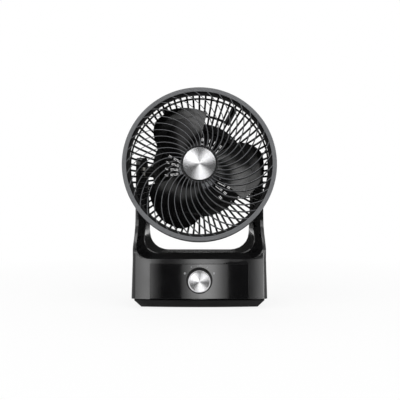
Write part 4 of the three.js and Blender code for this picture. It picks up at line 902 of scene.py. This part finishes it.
def word_mesh(text, size, height):
    """Flat letters of that size, standing over the middle of the dial at a height."""
    curve = bpy.data.curves.new(text, "FONT")
    curve.body, curve.size, curve.align_x = text, size, "CENTER"
    curve.extrude = MARK_LIFT
    letters = new_object(text, curve)
    mesh = bpy.data.meshes.new_from_object(letters.evaluated_get(
        bpy.context.evaluated_depsgraph_get()))
    bpy.data.objects.remove(letters)
    flat = np.empty(len(mesh.vertices) * 3)
    mesh.vertices.foreach_get("co", flat)
    flat = flat.reshape(-1, 3)
    placed = print_on_panel(np.stack((flat[:, 0], -flat[:, 2], flat[:, 1] + height), -1))
    mesh.vertices.foreach_set("co", placed.reshape(-1))
    weld(mesh, turn_out=False)
    return mesh


class FAN_OT_panel(bpy.types.Operator):
    """Adds the glossy control panel and its printed dial marks"""

    bl_idname = "fan.panel"
    bl_label = "Control panel"

    def execute(self, context):
        softened_copy("control_panel", "gloss_control_panel", "stand", "gloss_panel", 0.3 * MM)
        dots = [dot(radius, side * math.radians(angle), circle)
                for radius, angle, circle in DIAL_DOTS for side in (1, -1)]
        new_piece("dial_dots", dots, print_on_panel, "stand", "white_acetal", look="ink")
        settle("dial_word", word_mesh("OFF", WORD_SIZE, WORD_HEIGHT), "stand", "white_acetal",
               look="ink")
        return {"FINISHED"}


class FAN_OT_shells(bpy.types.Operator):
    """Adds the stand's two shells and the base plate with rounded edges"""

    bl_idname = "fan.shells"
    bl_label = "Stand and base"

    def execute(self, context):
        edge = context.scene.fan_shape.edge
        for node, body, slot, share, steps in (
                ("front_shell", "stand", "satin_black_shell", 1.5, 3),
                ("rear_shell", "stand", "satin_black_shell", 1, 3),
                ("base_plate", "base", "frame_black", 1, 3),
                ("motor_cover", "head", "frame_black", 0.6, 2)):
            softened_copy(node, node + "_moulding", body, slot, edge * share, steps)
        return {"FINISHED"}


class FAN_OT_fittings(bpy.types.Operator):
    """Gives the fittings and inner parts, whose shapes stay, their finishes"""

    bl_idname = "fan.fittings"
    bl_label = "Fittings"

    def execute(self, context):
        for part in frame["record"]["subparts"]:
            slots = frame["nodes"][part["node"]].data.materials
            slots.clear()
            slots.append(finishes()[LOOK_OF_SLOT[part["material_slot"]]])
        return {"FINISHED"}


# ---- stage ----
CAMERA_PLACE = (0.001, -1.100 + CENTRE_Y, 0.177)
CAMERA_LENS = 56
SENSOR = 36
WORLD_FILL = 0.45
FLOOR_REACH = 6
FLOOR_FADE = (0.25, 0.9)  # from where the floor pales, to where it is plain white
FLOOR_WHITE = 0.86  # its white share at the fan

# Cards of black felt, as (name, y, left, right, low, high).
FELT_CARDS = (
    ("wall behind the camera", -2.2, -1.3, 1.5, -1.6, 2.85),
    ("card behind, high", 1.2, -1.6, 1.6, 0.155, 2.2),
    ("card behind, middle", 1.2, -0.3, 0.3, 0.08, 0.155),
    ("card behind, far left", 1.2, -1.6, -0.3, -1.2, 0.155),
    ("card behind, far right", 1.2, 0.3, 1.6, -1.2, 0.155),
)
# Lit cloths ahead of the stand, as (name, x of the dim side, x of the bright side, x of the far
# edge, dim and bright radiance, top, brightest in its middle). Each lies where the face that
# shows it mirrors to: the panel, the two rounded corners and the left arm.
BANDS = (
    ("band on the panel", -0.182, 0.293, 0.293, 1.2, 6.3, 0.10, True),
    ("dim band", -0.402, -0.553, -0.553, 0.1, 5.6, 0.3, False),
    ("left band", -1.20, -0.553, -0.553, 0.8, 6.0, 0.3, False),
    ("right band", 0.54, 0.92, 1.40, 0.1, 8.5, 0.3, False),
)
CARD_BELOW = (-0.6, 0.6, -0.7, 0.6, -1.3)  # left, right, near, far and height of a felt card
BAND_Y = -1.75
BAND_LOW = -0.268
# Soft lamps, as (name, place, size, radiance, whether they also light the spun faces).
SOFTBOXES = (
    ("key right", (0.75, -0.95, 1.38), (1.10, 1.10), 2.4, False),
    ("key left", (-0.92, -0.98, 1.20), (1.40, 1.10), 2.4, False),
    ("overhead", (0.0, 0.50, 1.80), (1.00, 0.70), 3.0, True),
)
# Round lamps of a spun face, as (angle of the fan clockwise from the top, width, radiance).
FANS = ((48, 0.46, 2.0), (298, 0.46, 1.7), (321, 0.40, 1.7), (168, 0.54, 1.9))
FAN_REACH = 1.5
FAN_SPREAD = math.radians(21)
SPUN_FACES = ("spun_hub_cap", "knob_spun_face")


def blank_tree(owner):
    """The emptied node tree of a material or world."""
    owner.use_nodes = True
    owner.node_tree.nodes.clear()
    return owner.node_tree


def seen_directly(tree):
    """1 for rays from the camera, and for those that metal and glass reflect or let through."""
    path = add_node(tree, "ShaderNodeLightPath").outputs
    first = add_node(tree, "ShaderNodeMath", {0: path["Is Camera Ray"], 1: path["Is Glossy Ray"]},
                     operation="MAXIMUM")
    both = add_node(tree, "ShaderNodeMath",
                    {0: first.outputs[0], 1: path["Is Transmission Ray"]}, operation="MAXIMUM")
    return both.outputs[0]


def white_world():
    """White where it is seen, and a grey fill where it only lights."""
    world = bpy.data.worlds.new("white studio")
    tree = blank_tree(world)
    lit = add_node(tree, "ShaderNodeBackground", {"Color": (1, 1, 1, 1), "Strength": WORLD_FILL})
    seen = add_node(tree, "ShaderNodeBackground", {"Color": (1, 1, 1, 1), "Strength": 1.0})
    mix = add_node(tree, "ShaderNodeMixShader",
                   {0: seen_directly(tree), 1: lit.outputs[0], 2: seen.outputs[0]})
    add_node(tree, "ShaderNodeOutputWorld", {"Surface": mix.outputs[0]})
    return world


def plane(name, corners, material):
    """Flat four-sided stage piece."""
    mesh = bpy.data.meshes.new(name)
    mesh.from_pydata(corners, [], [(0, 1, 2, 3)])
    mesh.materials.append(material)
    piece = new_object(name, mesh)
    return piece


def level(name, left, right, near, far, z, material):
    """Level stage piece."""
    return plane(name, [(left, near, z), (right, near, z), (right, far, z), (left, far, z)],
                 material)


def pale_floor():
    """Pale paper, whiter with distance and then plain white, so that no horizon shows."""
    material = bpy.data.materials.new("pale paper floor")
    tree = blank_tree(material)
    paper = add_node(tree, "ShaderNodeBsdfDiffuse", {"Color": (0.85, 0.85, 0.85, 1)})
    white = add_node(tree, "ShaderNodeEmission", {"Color": (1, 1, 1, 1), "Strength": 1.0})
    place = add_node(tree, "ShaderNodeTexCoord").outputs["Object"]
    away = add_node(tree, "ShaderNodeVectorMath", {0: place}, operation="LENGTH")
    near, far = FLOOR_FADE
    share = add_node(tree, "ShaderNodeMapRange",
                     {"Value": away.outputs["Value"], "From Min": near, "From Max": far,
                      "To Min": FLOOR_WHITE, "To Max": 1.0}).outputs["Result"]
    both = add_node(tree, "ShaderNodeMath", {0: share, 1: seen_directly(tree)},
                    operation="MULTIPLY")
    mix = add_node(tree, "ShaderNodeMixShader",
                   {0: both.outputs[0], 1: paper.outputs[0], 2: white.outputs[0]})
    add_node(tree, "ShaderNodeOutputMaterial", {"Surface": mix.outputs[0]})
    return material


def softbox(name, place, target, size, radiance, shape="RECTANGLE"):
    """Lamp of size (width, height) that faces a point; its power is radiance pi w h."""
    lamp = bpy.data.lights.new(name, "AREA")
    lamp.shape = shape
    lamp.size, lamp.size_y = size
    lamp.energy = radiance * math.pi * size[0] * size[1]
    piece = new_object(name, lamp)
    piece.location = place
    back = np.subtract(place, target)
    piece.rotation_euler = (math.atan2(math.hypot(back[0], back[1]), back[2]), 0,
                            math.atan2(back[0], -back[1]))
    return piece


def upright(name, y, left, right, low, high, material, cast_light):
    """Upright card that only reflections see, or that also gives light."""
    card = plane(name, [(left, y, low), (right, y, low), (right, y, high), (left, y, high)],
                 material)
    card.visible_camera = False
    card.visible_transmission = False
    card.visible_shadow = False
    card.visible_diffuse = cast_light
    return card


def lit_cloth(name, start, end, dim, bright, humped):
    """Lit cloth of radiance dim + (bright - dim) s^2 at share t of the way from x start to end.

    s is 4 t (1 - t) for a cloth that is brightest in its middle, and else t.
    """
    material = bpy.data.materials.new(name)
    tree = blank_tree(material)
    place = add_node(tree, "ShaderNodeTexCoord").outputs["Object"]
    x = add_node(tree, "ShaderNodeSeparateXYZ", {"Vector": place}).outputs["X"]
    share = add_node(tree, "ShaderNodeMapRange",
                     {"Value": x, "From Min": start, "From Max": end}).outputs["Result"]
    if humped:
        rising = add_node(tree, "ShaderNodeMath", {0: 4.0, 1: share}, operation="MULTIPLY")
        falling = add_node(tree, "ShaderNodeMath", {0: 1.0, 1: share}, operation="SUBTRACT")
        share = add_node(tree, "ShaderNodeMath", {0: rising.outputs[0], 1: falling.outputs[0]},
                         operation="MULTIPLY").outputs[0]
    squared = add_node(tree, "ShaderNodeMath", {0: share, 1: 2.0}, operation="POWER")
    glow = add_node(tree, "ShaderNodeMapRange",
                    {"Value": squared.outputs[0], "To Min": dim, "To Max": bright})
    light = add_node(tree, "ShaderNodeEmission",
                     {"Color": (1, 1, 1, 1), "Strength": glow.outputs["Result"]})
    add_node(tree, "ShaderNodeOutputMaterial", {"Surface": light.outputs[0]})
    return material


def lit_only(names, state):
    """Collection that links a light to these pieces ("INCLUDE") or keeps it off them."""
    chosen = bpy.data.collections.new(state.lower() + " " + names[0])
    for name in names:
        chosen.objects.link(bpy.data.objects[name])
    for link in chosen.collection_objects:
        link.light_linking.link_state = state
    return chosen


def fans_of_light(piece, place, normal):
    """Round lamps around the line of sight that a spun face mirrors, which it shows as fans.

    The lamp for the fan at angle a stands at place + FAN_REACH (m + tan(FAN_SPREAD) (r sin a +
    u cos a)), with m the mirrored line of sight, r to its right and u above it.
    """
    sight = np.subtract(place, CAMERA_PLACE)
    sight /= np.linalg.norm(sight)
    mirrored = sight - 2 * np.dot(sight, normal) * np.asarray(normal)
    right = np.cross(mirrored, (0, 0, 1))
    right = -right / np.linalg.norm(right)
    above = np.cross(mirrored, right)
    above *= np.sign(above[2])
    only = lit_only([piece], "INCLUDE")
    for turn, width, radiance in FANS:
        angle = math.radians(turn)
        aside = right * math.sin(angle) + above * math.cos(angle)
        spot = place + FAN_REACH * (mirrored + math.tan(FAN_SPREAD) * aside)
        lamp = softbox("fan at %d for %s" % (turn, piece), spot, place, (width, width), radiance,
                       "DISK")
        lamp.light_linking.receiver_collection = only


class FAN_OT_stage(bpy.types.Operator):
    """Adds the camera, the soft studio light and the pale floor"""

    bl_idname = "fan.stage"
    bl_label = "Stage"

    def execute(self, context):
        scene = context.scene
        camera = bpy.data.cameras.new("camera")
        camera.lens, camera.sensor_width = CAMERA_LENS, SENSOR
        eye = new_object("camera", camera)
        eye.location = CAMERA_PLACE
        eye.rotation_euler = (math.radians(90), 0, 0)
        scene.camera = eye
        scene.view_settings.view_transform = "Standard"
        scene.world = white_world()

        floor = level("floor", -FLOOR_REACH, FLOOR_REACH, -FLOOR_REACH, FLOOR_REACH, 0,
                      pale_floor())
        floor.visible_glossy = False
        floor.visible_shadow = False

        cap, knob = SPUN_FACES
        fans_of_light(cap, PIVOT + LOOK * RIM_AHEAD, LOOK)
        fans_of_light(knob, KNOB_SEAT, (0, -1, 0))

        felt = black_felt()
        for name, *edges in FELT_CARDS:
            upright(name, *edges, felt, False)
        level("card under the fan", *CARD_BELOW, felt)

        off_bands = lit_only((*SPUN_FACES, "impeller_moulding", "base_plate_moulding"), "EXCLUDE")
        for name, start, end, edge, dim, bright, high, humped in BANDS:
            cloth = lit_cloth(name, start, end, dim, bright, humped)
            band = upright(name, BAND_Y, min(start, edge), max(start, edge), BAND_LOW, high,
                           cloth, True)
            band.light_linking.receiver_collection = off_bands

        off_spun = lit_only(SPUN_FACES, "EXCLUDE")
        for name, place, size, radiance, on_spun in SOFTBOXES:
            lamp = softbox(name, place, PIVOT, size, radiance)
            if not on_spun:
                lamp.light_linking.receiver_collection = off_spun
        return {"FINISHED"}


class VIEW3D_PT_fan(bpy.types.Panel):
    """Lists the pieces of the fan"""

    bl_label = "Air circulator fan"
    bl_category = "Fan"
    bl_space_type = "VIEW_3D"
    bl_region_type = "UI"

    def draw(self, context):
        for group in (context.scene.fan_shape, context.scene.fan_colours):
            for name in group.__annotations__:
                self.layout.prop(group, name)
        for operator in OPERATORS:
            self.layout.operator(operator.bl_idname)


OPERATORS = (
    FAN_OT_fittings, FAN_OT_shells, FAN_OT_panel, FAN_OT_knob, FAN_OT_front_grille,
    FAN_OT_hub_cap, FAN_OT_rear_cage, FAN_OT_impeller, FAN_OT_stage,
)
CLASSES = (FanShape, FanColours, *OPERATORS, VIEW3D_PT_fan)


def register():
    for made in CLASSES:
        bpy.utils.register_class(made)
    bpy.types.Scene.fan_shape = bpy.props.PointerProperty(type=FanShape)
    bpy.types.Scene.fan_colours = bpy.props.PointerProperty(type=FanColours)


def unregister():
    del bpy.types.Scene.fan_shape
    del bpy.types.Scene.fan_colours
    for made in reversed(CLASSES):
        bpy.utils.unregister_class(made)


def main():
    """Makes every piece, then the stage that lights them."""
    register()
    bpy.ops.fan.fittings()
    bpy.ops.fan.shells()
    bpy.ops.fan.panel()
    bpy.ops.fan.knob()
    bpy.ops.fan.front_grille()
    bpy.ops.fan.hub_cap()
    bpy.ops.fan.rear_cage()
    bpy.ops.fan.impeller()
    bpy.ops.fan.stage()


if __name__ == "__main__":
    main()
